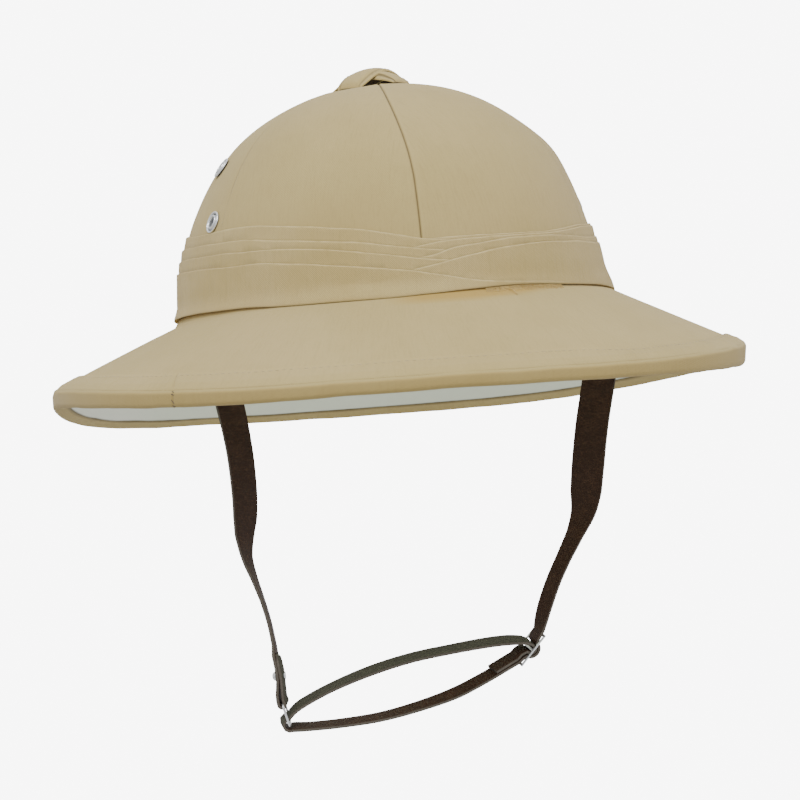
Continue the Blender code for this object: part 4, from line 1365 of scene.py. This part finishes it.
EYELETS = (
    # name, angle in degrees, height in mm
    ("eyelet_left_lower", -65.0, 39.5),
    ("eyelet_left_upper", -78.0, 66.0),
    ("eyelet_right_lower", 86.0, 40.4),
    ("eyelet_right_upper", 88.0, 65.0),
)
EYELET_RADIUS = 5.1 * MM
EYELET_NECK_RADIUS = 3.7 * MM
EYELET_BORE_RADIUS = 2.5 * MM
EYELET_DEPTH = 4.5 * MM


def eyelet_place(degrees, height):
    angle = math.radians(degrees)
    turn = crown_normal(angle, height * MM).to_track_quat("Z", "Y").to_matrix().to_4x4()
    return Matrix.Translation(crown_point(angle, height * MM)) @ turn


def half_round(inner, outer, base, rise, steps):
    """A rounded rib from its outer foot over to its inner foot, as (radius, height)."""
    middle = (inner + outer) * 0.5
    half = (outer - inner) * 0.5
    return [
        (
            middle + half * math.cos(math.pi * step / steps),
            base + rise * math.sin(math.pi * step / steps) ** 0.8,
        )
        for step in range(steps + 1)
    ]


def eyelet_mesh(name, place):
    """A flange with a rounded edge, a groove, and the rolled barrel round the bore."""
    seat = CLEARANCE + 0.1 * MM
    profile = [
        (EYELET_BORE_RADIUS, -EYELET_DEPTH),
        (EYELET_NECK_RADIUS - 0.6 * MM, -EYELET_DEPTH),
        (EYELET_NECK_RADIUS - 0.4 * MM, seat),
        (EYELET_RADIUS - 0.3 * MM, seat),
    ]
    flange = half_round(4.3 * MM, EYELET_RADIUS, seat + 0.15 * MM, 0.62 * MM, 9)
    groove = [(4.1 * MM, seat + 0.10 * MM), (3.5 * MM, seat + 0.10 * MM)]
    barrel = half_round(EYELET_BORE_RADIUS, 3.35 * MM, seat + 0.2 * MM, 0.95 * MM, 10)
    bright_from = len(profile)
    profile += flange + groove + barrel
    # Painted shade: the bore, the flange's underside and the groove are darkened.
    dark = {0, 1, 2, 3}
    dark.update(range(bright_from + len(flange), bright_from + len(flange) + len(groove)))
    sections = []
    for side in range(48):
        turn = math.tau * side / 48
        sections.append([
            place @ Vector((radius * math.cos(turn), radius * math.sin(turn), height))
            for radius, height in profile
        ])
    fields = {"seam": lambda i, j: 1.0 if j in dark else 0.0}
    return swept(name, sections, lambda i, j: (i * 0.0005, j * 0.0005), fields=fields)


# Straps

STRAP_ANGLE = 64.0
STRAP_OUT = 2.2 * MM
STRAP_BURIED = 1.5 * MM
STRAP_LEATHER = 1.5 * MM
STRAP_SKIN = 1.5 * MM
STRAP_SPREAD = 0.4 * MM
STRAP_ROUND_EDGE = 0.28 * MM
STRAP_WIDE = 15.0 * MM
STRAP_NARROW = 7.5 * MM
STRAP_STEP = 1.6 * MM

# Routes of the strap's middle line from the brim down. x, y and z are in mm. The width
# points along heading, in degrees from +X towards +Y, and rises by lift in degrees.
LEFT_STRAP_ROUTE = (
    # x, y, z, heading, lift, width
    (-86.5, -50.4, -18.0, 30, 0, 15.0),
    (-81.9, -50.0, -42.0, 35, 0, 15.0),
    (-79.1, -49.6, -62.0, 39, 0, 15.0),
    (-78.2, -49.3, -80.0, 42, 0, 15.0),
    (-78.6, -49.1, -92.0, 45, 0, 14.8),
    (-79.4, -49.0, -100.0, 49, 0, 12.8),
    (-79.0, -49.0, -110.0, 59, 0, 8.6),
    (-76.3, -49.0, -120.0, 72, 0, 7.5),
    (-73.4, -49.3, -130.0, 79, 2, 7.5),
    (-71.15, -49.6, -140.0, 81, 8, 7.5),
    (-69.6, -49.3, -151.0, 80, 14, 7.5),
)
RIGHT_STRAP_ROUTE = (
    # x, y, z, heading, lift, width
    (89.3, -50.4, -18.0, -27, 0, 15.0),
    (84.4, -50.0, -42.0, -28, 0, 15.0),
    (79.9, -49.6, -62.0, -29, 0, 15.0),
    (76.8, -49.3, -80.0, -30, 0, 15.0),
    (75.0, -49.1, -92.0, -31, 0, 14.4),
    (73.1, -49.0, -101.0, -33, 0, 11.6),
    (68.6, -49.0, -110.5, -36, 0, 8.4),
    (62.6, -49.0, -121.0, -40, 0, 7.5),
    (57.2, -49.2, -131.0, -43, 0, 7.6),
    (52.8, -49.6, -141.0, -46, -3, 7.6),
    (50.4, -50.1, -147.5, -52, -6, 7.2),
)
RING_TOP = (-67.7, -49.0, -174.9)
RING_HEADING = 84.0
RING_LIFT = 14.0
RING_LEAN = 13.2
RING_LENGTH = 10.2 * MM
RING_WIDTH = 9.9 * MM
WIRE_RADIUS = 0.52 * MM
FOLD_HEADING = 76.0
FOLD_GAP = 0.40 * MM
FOLD_LEFT = (
    # up from the ring, left of it, in mm
    (20.5, 0.65), (17.5, 0.4), (14.3, 0.3), (11.2, 0.45), (8.0, 0.9), (4.6, 1.5), (2.0, 1.6),
)
FOLD_RIGHT = (
    # up from the ring, left of it in mm, width
    (2.0, -0.9, 7.5), (4.6, -0.95, 7.5), (8.0, -1.05, 7.5), (11.2, -1.2, 7.5), (14.3, -1.15, 7.5),
    (18.0, -0.85, 7.5), (20.4, -0.6, 6.0), (22.2, -0.1, 3.0), (22.9, 0.1, 1.6),
)
RING_TWIST = -10.0
RING_TURN_LIFT = -6.0
RIVET_UP = 12.4 * MM
RIVET_LEFT = -0.45 * MM
RIVET_HEAD_RADIUS = 2.2 * MM
RIVET_HEAD_HEIGHT = 1.9 * MM
RIVET_SHANK_RADIUS = 1.0 * MM
RIVET_TAIL_RADIUS = 1.7 * MM
RIVET_TAIL_HEIGHT = 0.5 * MM
SLIDE_CENTRE = (43.8, -49.0, -159.1)
SLIDE_RUN = (-0.663, 0.091, -0.743)
SLIDE_ACROSS = (-0.428, 0.892, 0.142)
SLIDE_LENGTH = 17.4 * MM
SLIDE_WIDTH = 11.1 * MM
SLIDE_BAR = 1.3 * MM
SLIDE_RAIL = 1.1 * MM
SLIDE_RAIL_THICK = 0.75 * MM
SLIDE_END_THICK = 0.8 * MM
SLIDE_ROUNDING = 0.3 * MM
LOWER_RUN = (
    # x, y, z, heading, lift, width
    (24.0, -52.3, -170.5, 108, 22, 7.5),
    (9.5, -53.2, -176.5, 98, 28, 7.5),
    (-6.8, -53.2, -181.0, 90, 23.4, 7.5),
    (-25.0, -52.0, -184.6, 86, 19.9, 7.5),
    (-43.0, -50.6, -186.1, 84, 18.1, 7.5),
    (-57.0, -49.0, -186.5, 84, 17.5, 7.5),
)
RING_TURN = (
    # down, out
    (12.4, -0.6),
    (12.3, 1.0),
    (11.5, 2.4),
    (9.9, 3.2),
    (8.3, 2.8),
    (7.4, 1.4),
    (7.0, -0.2),
)
UPPER_RUN = (
    # x, y, z, heading, lift, width
    (-60.3, -49.0, -176.7, 84, 23, 7.5),
    (-46.0, -50.4, -170.0, 84, 21.6, 7.5),
    (-28.0, -51.8, -163.9, 86, 24.0, 7.5),
    (-9.7, -52.8, -159.6, 90, 22.0, 7.5),
    (8.4, -53.2, -157.2, 96, 21.0, 7.5),
    (24.0, -52.6, -155.7, 104, 23.0, 7.5),
    (34.6, -51.4, -155.4, 110, 24.0, 7.5),
)
TAIL_LENGTH = 12.0 * MM
SLIDE_ASIDE = 0.4 * MM


def width_vector(heading, lift):
    turn = math.radians(heading)
    rise = math.radians(lift)
    return Vector((math.cos(rise) * math.cos(turn), math.cos(rise) * math.sin(turn), math.sin(rise)))


def route_rows(table):
    return [
        (Vector((x, y, z)) * MM, width_vector(heading, lift), width * MM)
        for x, y, z, heading, lift, width in table
    ]


def blend(a, b, c, d, share):
    """A smooth curve through b and c, with a and d as their neighbours."""
    return 0.5 * (
        2.0 * b
        + (c - a) * share
        + (2.0 * a - 5.0 * b + 4.0 * c - d) * share**2
        + (3.0 * b - a - 3.0 * c + d) * share**3
    )


def untwisted(rows):
    result = [rows[0]]
    for place, across, width in rows[1:]:
        if across.dot(result[-1][1]) < 0.0:
            across = -across
        result.append((place, across, width))
    return result


def smooth_rows(rows, step_length=STRAP_STEP):
    ends = [rows[0]] + rows + [rows[-1]]
    result = []
    for i in range(1, len(rows)):
        before, here, there, after = ends[i - 1 : i + 3]
        steps = max(1, round((there[0] - here[0]).length / step_length))
        for step in range(steps):
            share = step / steps
            place = blend(before[0], here[0], there[0], after[0], share)
            across = here[1].lerp(there[1], share).normalized()
            result.append((place, across, here[2] + (there[2] - here[2]) * share))
    result.append(rows[-1])
    return result


def strap_mesh(name, rows):
    """A strap with rounded edges through its rows, its grain side out."""
    outline = [("grain", 1.0 - step / 4, 0.5) for step in range(9)]
    outline += [("rim", -1.0, 0.27), ("rim", -1.0, -0.27)]
    outline += [("flesh", step / 4 - 1.0, -0.5) for step in range(9)]
    outline += [("rim", 1.0, -0.27), ("rim", 1.0, 0.27)]
    sections = []
    lengths = [0.0]
    for i, (place, across, width) in enumerate(rows):
        ahead = rows[min(i + 1, len(rows) - 1)][0]
        behind = rows[max(i - 1, 0)][0]
        run = (ahead - behind).normalized()
        across = (across - run * across.dot(run)).normalized()
        out = run.cross(across)
        section = []
        thick = min(STRAP_SKIN, width * 0.3)
        for kind, share, height in outline:
            inset = STRAP_ROUND_EDGE if kind != "rim" and abs(share) == 1.0 else 0.0
            reach = share * ((width + STRAP_SPREAD) * 0.5 - inset)
            section.append(place + across * reach + out * (height * thick))
        sections.append(section)
        if i:
            lengths.append(lengths[-1] + (place - rows[i - 1][0]).length)
    lengths.append(lengths[-1])

    def cloth(i, j):
        kind, share, height = outline[j % len(outline)]
        return (share * 0.0075 + (0.03 if kind == "flesh" else 0.0), lengths[i])

    def flesh(i, j):
        return 1.0 if outline[j][0] == "flesh" else 0.0

    def rim(i, j):
        kind, share, height = outline[j]
        return 1.0 if kind == "rim" else 0.0

    fields = {"flesh": flesh, "rim": rim}
    return swept(name, sections, cloth, wrap=False, fields=fields)


def strap_anchor(side):
    angle = math.radians(STRAP_ANGLE * side)
    place = brim_point(angle, STRAP_OUT, brim_under(angle, STRAP_OUT) + STRAP_BURIED)
    outward = brim_point(angle, STRAP_OUT + MM, 0.0) - brim_point(angle, STRAP_OUT, 0.0)
    return place, outward.normalized() * side


def ring_frame():
    across = width_vector(RING_HEADING, RING_LIFT)
    lean = math.radians(RING_LEAN)
    down = Vector((math.sin(lean), 0.0, -math.cos(lean)))
    down = (down - across * down.dot(across)).normalized()
    return Vector(RING_TOP) * MM, down, across, across.cross(down)


def ring_mesh_metal():
    top, down, across, out = ring_frame()
    centre = top + down * (RING_LENGTH * 0.5)
    corner = 1.6 * MM
    sections = []
    for quarter in range(4):
        for step in range(9):
            turn = math.radians(90.0 * quarter + 90.0 * step / 8)
            sign_down = 1 if quarter in (0, 3) else -1
            sign_across = 1 if quarter in (0, 1) else -1
            along = sign_down * (RING_LENGTH * 0.5 - corner) + corner * math.cos(turn)
            aside = sign_across * (RING_WIDTH * 0.5 - corner) + corner * math.sin(turn)
            place = centre + down * along + across * aside
            away = down * math.cos(turn) + across * math.sin(turn)
            section = []
            for side in range(16):
                spin = math.tau * side / 16
                section.append(place + (away * math.cos(spin) + out * math.sin(spin)) * WIRE_RADIUS)
            sections.append(section)
    return swept("ring_wire", sections, lambda i, j: (i * 0.0005, j * 0.0003))


def fold_rows():
    """The strap's end folded round the ring's upper bar, with its skived point."""
    top = Vector(RING_TOP) * MM
    across = width_vector(FOLD_HEADING, RING_LIFT)
    rise = Vector((-0.02, 0.0, 1.0))
    rise = (rise - across * rise.dot(across)).normalized()
    left = across.cross(rise)
    if left.x > 0.0:
        left = -left
    reach = WIRE_RADIUS + 0.12 * MM + STRAP_SKIN * 0.5
    rows = [(top + (rise * up + left * aside) * MM, across, STRAP_NARROW) for up, aside in FOLD_LEFT]
    for turn in range(0, 181, 20):
        spin = math.radians(turn)
        place = top + left * (reach * math.cos(spin)) - rise * (reach * math.sin(spin))
        rows.append((place, across, STRAP_NARROW))
    rows += [(top + (rise * up + left * aside) * MM, across, width * MM) for up, aside, width in FOLD_RIGHT]
    return rows, left, rise


def slide_frame():
    run = Vector(SLIDE_RUN).normalized()
    across = Vector(SLIDE_ACROSS)
    across = (across - run * across.dot(run)).normalized()
    return Vector(SLIDE_CENTRE) * MM, run, across, across.cross(run)


def slide_rows(points):
    centre, run, across, up = slide_frame()
    middle = centre - across * SLIDE_ASIDE
    return [(middle + run * (r * MM) + up * (u * MM), across, STRAP_NARROW) for r, u in points]


def ring_rows():
    """The turn round the ring's lower bar, where the leather twists towards the front."""
    top, down, across, out = ring_frame()
    rows = []
    for i, (d, o) in enumerate(RING_TURN):
        share = math.sin(math.pi * i / (len(RING_TURN) - 1))
        twist = Matrix.Rotation(math.radians(RING_TWIST) * share, 3, down)
        lift = Matrix.Rotation(math.radians(RING_TURN_LIFT), 3, out)
        rows.append((top + down * (d * MM) + out * (o * MM), twist @ lift @ across, STRAP_NARROW))
    return rows


def wrap(radius):
    places = []
    for turn in range(0, 181, 15):
        spin = math.radians(turn)
        places.append((-radius * math.cos(spin), -radius * math.sin(spin)))
    return places


def long_strap_rows():
    leather = STRAP_LEATHER / MM
    gap = CLEARANCE / MM
    bar = SLIDE_BAR * 0.5 / MM
    over = bar + gap + leather * 0.5
    pitch = leather + gap
    end = SLIDE_LENGTH * 0.5 / MM - bar
    outer = over + pitch
    down = smooth_rows(untwisted(route_rows(RIGHT_STRAP_ROUTE)))
    outer_wrap = (
        slide_rows([(-end - 0.9, 1.3), (-end * 0.68, 0.8)])
        + slide_rows(wrap(outer))
        + slide_rows([(end * 0.68, 0.8), (end, 1.3)])
    )
    lead_in = slide_rows([(-1.2, 4.0), (-over - 0.1, 1.8)])
    loop = smooth_rows(route_rows(LOWER_RUN) + ring_rows() + route_rows(UPPER_RUN) + lead_in)
    inner_wrap = slide_rows(wrap(over)) + slide_rows([(over + 0.4, 1.5), (over + 2.6, 2.75)])
    first = Vector(LOWER_RUN[0][:3]) * MM
    centre, run, across, up = slide_frame()
    start = centre + run * (end * MM) + up * (1.3 * MM)
    along = (first - start).normalized()
    lift = along.cross(across).normalized()
    if lift.dot(up) < 0.0:
        lift = -lift
    tail = []
    for share in (0.0, 0.35, 0.7, 1.0):
        place = start + along * (TAIL_LENGTH * share) + lift * ((pitch - 0.15) * MM)
        tail.append((place, across, STRAP_NARROW))
    return down + outer_wrap + loop + inner_wrap + tail


def strap_rows(side, rows):
    place, across = strap_anchor(side)
    first, first_across, width = rows[0]
    lead = [
        (place.lerp(first, share), across.lerp(first_across, share).normalized(), STRAP_WIDE)
        for share in (0.0, 0.25, 0.5, 0.75)
    ]
    return untwisted(lead + rows)


def rivet_mesh(place):
    """A domed rivet with a small dimple in its head, with painted shade in the dimple, on its shank and in a
    dark ring round the head's rim.
    """
    face = STRAP_SKIN + FOLD_GAP * 0.5 + 0.05 * MM
    tiny = 0.02 * MM
    profile = [
        (tiny, -face - RIVET_TAIL_HEIGHT),
        (RIVET_TAIL_RADIUS, -face - RIVET_TAIL_HEIGHT),
        (RIVET_TAIL_RADIUS, -face),
        (RIVET_SHANK_RADIUS, -face),
        (RIVET_SHANK_RADIUS, face),
        (RIVET_HEAD_RADIUS, face),
    ]
    for step in range(1, 8):
        climb = math.radians(90.0 * step / 9)
        profile.append((RIVET_HEAD_RADIUS * math.cos(climb), face + RIVET_HEAD_HEIGHT * math.sin(climb)))
    profile.append((0.45 * MM, face + RIVET_HEAD_HEIGHT * 0.9))
    profile.append((tiny, face + RIVET_HEAD_HEIGHT * 0.72))
    sections = []
    for side in range(32):
        turn = math.tau * side / 32
        sections.append([
            place @ Vector((radius * math.cos(turn), radius * math.sin(turn), height))
            for radius, height in profile
        ])
    dimple = len(profile) - 1
    # Painted shade and dark painted reflection on the rivet.
    shades = {3: 0.9, 4: 0.9, 5: 0.7, 6: 0.45, dimple: 0.9}
    fields = {"seam": lambda i, j: shades.get(j, 0.0)}
    return swept("rivet_metal", sections, lambda i, j: (i * 0.0005, j * 0.0005), fields=fields)


def slide_mesh():
    """A flat oblong slide with a middle bar. Its long rails are thinner than its ends."""
    centre, run, across, up = slide_frame()
    half = SLIDE_LENGTH * 0.5
    bar = SLIDE_BAR
    side = SLIDE_WIDTH * 0.5
    runs = (-half, -half + bar, -bar * 0.5, bar * 0.5, half - bar, half)
    sides = (-side, -side + SLIDE_RAIL, side - SLIDE_RAIL, side)
    bm = bmesh.new()
    grid = [[bm.verts.new(centre + run * r + across * s) for s in sides] for r in runs]
    faces = []
    for i in range(len(runs) - 1):
        for j in range(len(sides) - 1):
            if i in (1, 3) and j == 1:
                continue
            corners = (grid[i][j], grid[i + 1][j], grid[i + 1][j + 1], grid[i][j + 1])
            faces.append(bm.faces.new(corners))
    raised = bmesh.ops.extrude_face_region(bm, geom=faces)
    lifted = {item for item in raised["geom"] if isinstance(item, bmesh.types.BMVert)}
    for vert in bm.verts:
        along = abs((vert.co - centre).dot(run))
        thick = SLIDE_END_THICK if along > half - bar * 1.01 else SLIDE_RAIL_THICK
        vert.co += up * (thick * (0.5 if vert in lifted else -0.5))
    bmesh.ops.recalc_face_normals(bm, faces=bm.faces)
    sharp = [edge for edge in bm.edges if edge.calc_face_angle(0.0) > 0.5]
    bmesh.ops.bevel(
        bm, geom=sharp, offset=SLIDE_ROUNDING, segments=3, affect="EDGES", profile=0.5, clamp_overlap=True
    )
    bmesh.ops.recalc_face_normals(bm, faces=bm.faces)
    mesh = bpy.data.meshes.new("slide_metal")
    bm.to_mesh(mesh)
    bm.free()
    # Painted shade and dark painted reflection at one end of each end bar, beside the rail.
    end_shade = mesh.attributes.new("seam", "FLOAT", "POINT")
    values = []
    for vert in mesh.vertices:
        end = ease((abs((vert.co - centre).dot(run)) - half + bar) / (0.3 * MM))
        near = ease(((centre - vert.co).dot(across) - side + 0.6 * MM) / (0.3 * MM))
        values.append(end * near)
    end_shade.data.foreach_set("value", values)
    return mesh


# Dressing


def cut_holes(mesh, places):
    """Cut the eyelets' holes through the crown's wall."""
    bm = bmesh.new()
    for place in places:
        bmesh.ops.create_cone(
            bm,
            cap_ends=True,
            segments=32,
            radius1=EYELET_NECK_RADIUS - 0.2 * MM,
            radius2=EYELET_NECK_RADIUS - 0.2 * MM,
            depth=CROWN_WALL * 4.0,
            matrix=place,
        )
    drill_mesh = bpy.data.meshes.new("drill")
    bm.to_mesh(drill_mesh)
    bm.free()
    drill = bpy.data.objects.new("drill", drill_mesh)
    body = bpy.data.objects.new("crown_uncut", mesh)
    for item in (drill, body):
        bpy.context.scene.collection.objects.link(item)
    modifier = body.modifiers.new("holes", "BOOLEAN")
    modifier.operation = "DIFFERENCE"
    modifier.solver = "EXACT"
    modifier.object = drill
    depsgraph = bpy.context.evaluated_depsgraph_get()
    result = bpy.data.meshes.new_from_object(body.evaluated_get(depsgraph))
    bpy.data.objects.remove(body)
    bpy.data.objects.remove(drill)
    return result


def dress_brim(khaki, lining, thread, stitches, threads):
    turns = even_turns(360)
    near = brim_outs(0.0)

    def golden(i, j):
        return 0.8 * golden_brim_tint(turns[i], near[j]) if j < BRIM_ROOT_STEPS + 10 else 0.0

    brim = ring_mesh("brim_body", turns, brim_section, 0.14, {"golden": golden})
    finish("brim_body", brim, khaki, ["brim"])
    under = ring_mesh("lining_cloth", even_turns(360), lining_section, 0.125, {"seam": lining_edge})
    sheet = finish("lining_cloth", under, lining, ["brim_lining"])
    tape = finish("binding_tape", binding_mesh(), khaki, ["rim_binding"])
    row = [on_binding(angle, 0.115, 0.0) for angle in even_turns(720)]
    sizes = {"Pitch": 3.2 * MM, "Stitch Length": 2.3 * MM, "Stitch Thickness": 0.34 * MM}
    sewn = grown("binding_stitches", stitches, [row], {**sizes, "Finish": thread}, closed=True)
    seam = finish("binding_stitches", sewn, thread)
    zigzag = []
    for step in range(10):
        across = 0.34 + 0.44 * step / 9
        side = 0.24 if step % 2 else -0.24
        zigzag.append(on_binding(math.radians(JOINT_RIM_ANGLE + side), across, 0.05 * MM))
    dark = thread_finish("joint_thread", rgb(0.14, 0.095, 0.05), rgb(0.06, 0.04, 0.025))
    pieces = [zigzag[step:step + 2] for step in range(0, 10, 2)]
    sewn = grown("joint_stitches", threads, pieces, {"Thread Radius": 0.17 * MM, "Finish": dark})
    joint = finish("joint_stitches", sewn, dark)


def dress_band(band, golden, threads):
    wound = finish("puggaree_cloth", puggaree_mesh(), band, ["puggaree"])
    values = {"Thread Radius": FRAY_RADIUS, "Finish": golden}
    frayed = grown("frayed_edge", threads, frayed_threads(), values)
    fray = finish("frayed_edge", frayed, golden)
    values = {"Thread Radius": LOOSE_RADIUS, "Finish": golden}
    end = grown("loose_thread", threads, [loose_thread()], values)
    loose = finish("loose_thread", end, golden)


def dress_vent(khaki, thread, stitches):
    sizes = {"Pitch": 2.4 * MM, "Stitch Length": 1.7 * MM, "Stitch Thickness": 0.26 * MM}
    for name in STRIPS:
        node = name.replace("tape", "strip")
        tape = finish(name, strip_mesh(name), khaki, [node])
        sewn = grown(name + "_stitches", stitches, hem_lines(name), {**sizes, "Finish": thread})
        seam = finish(name + "_stitches", sewn, thread)


def dress_straps(leather, metal):
    fold, left, rise = fold_rows()
    short = strap_rows(-1, smooth_rows(route_rows(LEFT_STRAP_ROUTE)) + fold)
    short_mesh = strap_mesh("short_strap_leather", short)
    finish("short_strap_leather", short_mesh, leather, ["chin_strap_short"])
    long_mesh = strap_mesh("long_strap_leather", strap_rows(1, long_strap_rows()))
    finish("long_strap_leather", long_mesh, leather, ["chin_strap_long"])
    turn = left.to_track_quat("Z", "Y").to_matrix().to_4x4()
    place = Matrix.Translation(Vector(RING_TOP) * MM + rise * RIVET_UP + left * RIVET_LEFT) @ turn
    finish("rivet_metal", rivet_mesh(place), metal, ["strap_rivet"])
    finish("ring_wire", ring_mesh_metal(), metal, ["strap_ring"])
    finish("slide_metal", slide_mesh(), metal, ["strap_slide"])


def dress():
    khaki_dark = rgb(0.215, 0.147, 0.053)
    khaki = twill("cover_cotton", rgb(0.548, 0.425, 0.174), rgb(0.620, 0.494, 0.217), khaki_dark, 0.09)
    band = twill(
        "band_cotton", rgb(0.650, 0.502, 0.208), rgb(0.780, 0.635, 0.318), khaki_dark, 0.21,
        pitch=0.92 * MM, depth=0.18 * MM,
    )
    metal = bright_metal()
    thread = thread_finish("sewing_thread", rgb(0.58, 0.47, 0.26), rgb(0.40, 0.31, 0.16))
    golden = thread_finish("frayed_cotton", rgb(0.68, 0.50, 0.18), rgb(0.48, 0.33, 0.10))
    stitches = stitch_tree()
    threads = thread_tree()
    places = [eyelet_place(degrees, height) for name, degrees, height in EYELETS]
    finish("crown_body", cut_holes(crown_mesh(), places), khaki, ["crown"])
    for (name, degrees, height), place in zip(EYELETS, places):
        finish(name + "_metal", eyelet_mesh(name + "_metal", place), metal, [name])
    dress_brim(khaki, lining_cloth(), thread, stitches, threads)
    dress_band(band, golden, threads)
    dress_vent(khaki, thread, stitches)
    dress_straps(strap_leather(), metal)


# Studio


def add_camera():
    azimuth = math.radians(CAMERA_AZIMUTH)
    elevation = math.radians(CAMERA_ELEVATION)
    roll = math.radians(CAMERA_ROLL)
    away = Vector((
        math.sin(azimuth) * math.cos(elevation),
        -math.cos(azimuth) * math.cos(elevation),
        math.sin(elevation),
    ))
    right = (-away).cross(Vector((0.0, 0.0, 1.0))).normalized()
    up = right.cross(-away)
    turned_right = right * math.cos(roll) + up * math.sin(roll)
    turned_up = up * math.cos(roll) - right * math.sin(roll)
    data = bpy.data.cameras.new("camera")
    data.lens = CAMERA_LENS
    data.sensor_width = 36.0
    camera = bpy.data.objects.new("camera", data)
    axes = Matrix((turned_right, turned_up, away)).transposed().to_4x4()
    camera.matrix_world = Matrix.Translation(Vector(CAMERA_TARGET) + away * CAMERA_DISTANCE) @ axes
    bpy.context.scene.collection.objects.link(camera)
    bpy.context.scene.camera = camera


def add_light(name, place, size, power):
    data = bpy.data.lights.new(name, "AREA")
    data.size = size
    data.energy = power
    light = bpy.data.objects.new(name, data)
    light.location = place
    aim = Vector(place).to_track_quat("Z", "Y")
    light.rotation_euler = aim.to_euler()
    bpy.context.scene.collection.objects.link(light)


def add_world():
    """Soft light that grows from below to above, in front of a white backdrop."""
    world = bpy.context.scene.world or bpy.data.worlds.new("studio")
    bpy.context.scene.world = world
    world.use_nodes = True
    world.node_tree.nodes.clear()
    wiring = Wiring(world.node_tree)
    white = rgb(1.0, 1.0, 1.0)
    direction = wiring.node("ShaderNodeTexCoord").outputs["Generated"]
    split = wiring.node("ShaderNodeSeparateXYZ", None, {0: direction})
    height = Value(wiring, split.outputs[2])
    strength = height.smooth_step(-0.7, 0.7) * (LIGHT_ABOVE - LIGHT_BELOW) + LIGHT_BELOW
    light = wiring.node("ShaderNodeBackground", None, {"Color": white, "Strength": strength})
    backdrop = wiring.node("ShaderNodeBackground", None, {"Color": white, "Strength": BACKDROP})
    seen = wiring.node("ShaderNodeLightPath").outputs["Is Camera Ray"]
    both = wiring.node("ShaderNodeMixShader", None, {0: seen, 1: light.outputs[0], 2: backdrop.outputs[0]})
    wiring.node("ShaderNodeOutputWorld", None, {"Surface": both.outputs[0]})


def floor_finish():
    """A pale floor that fades out round the hat."""
    look = Look("floor")
    look.shade(Base_Color=rgb(0.9, 0.9, 0.9), Roughness=0.9)
    split = look.node("ShaderNodeSeparateXYZ", None, {0: look.place()})
    across = Value(look, split.outputs[0])
    along = Value(look, split.outputs[1])
    radius = look.node("ShaderNodeMath", {"operation": "SQRT"}, {0: across * across + along * along})
    fade = Value(look, radius.outputs[0]).smooth_step(FLOOR_FULL, FLOOR_END)
    clear = look.node("ShaderNodeBsdfTransparent")
    half = 0.5 + fade * 0.5
    mixed = look.node(
        "ShaderNodeMixShader", None, {0: half, 1: look.shader.outputs[0], 2: clear.outputs[0]}
    )
    look.put(look.tree.nodes["Material Output"].inputs["Surface"], mixed.outputs[0])
    return look.material


def add_studio():
    add_world()
    add_light("key", (-0.7, -1.3, 1.9), 1.3, 30.0)
    add_light("fill", (1.5, -1.4, 0.8), 1.4, 10.0)
    mesh = bpy.data.meshes.new("floor")
    rim = [(math.cos(turn), math.sin(turn), FLOOR_LEVEL) for turn in even_turns(64)]
    mesh.from_pydata(rim, [], [list(range(64))])
    mesh.materials.append(floor_finish())
    floor = bpy.data.objects.new("floor", mesh)
    bpy.context.scene.collection.objects.link(floor)


add_camera()
dress()
add_studio()
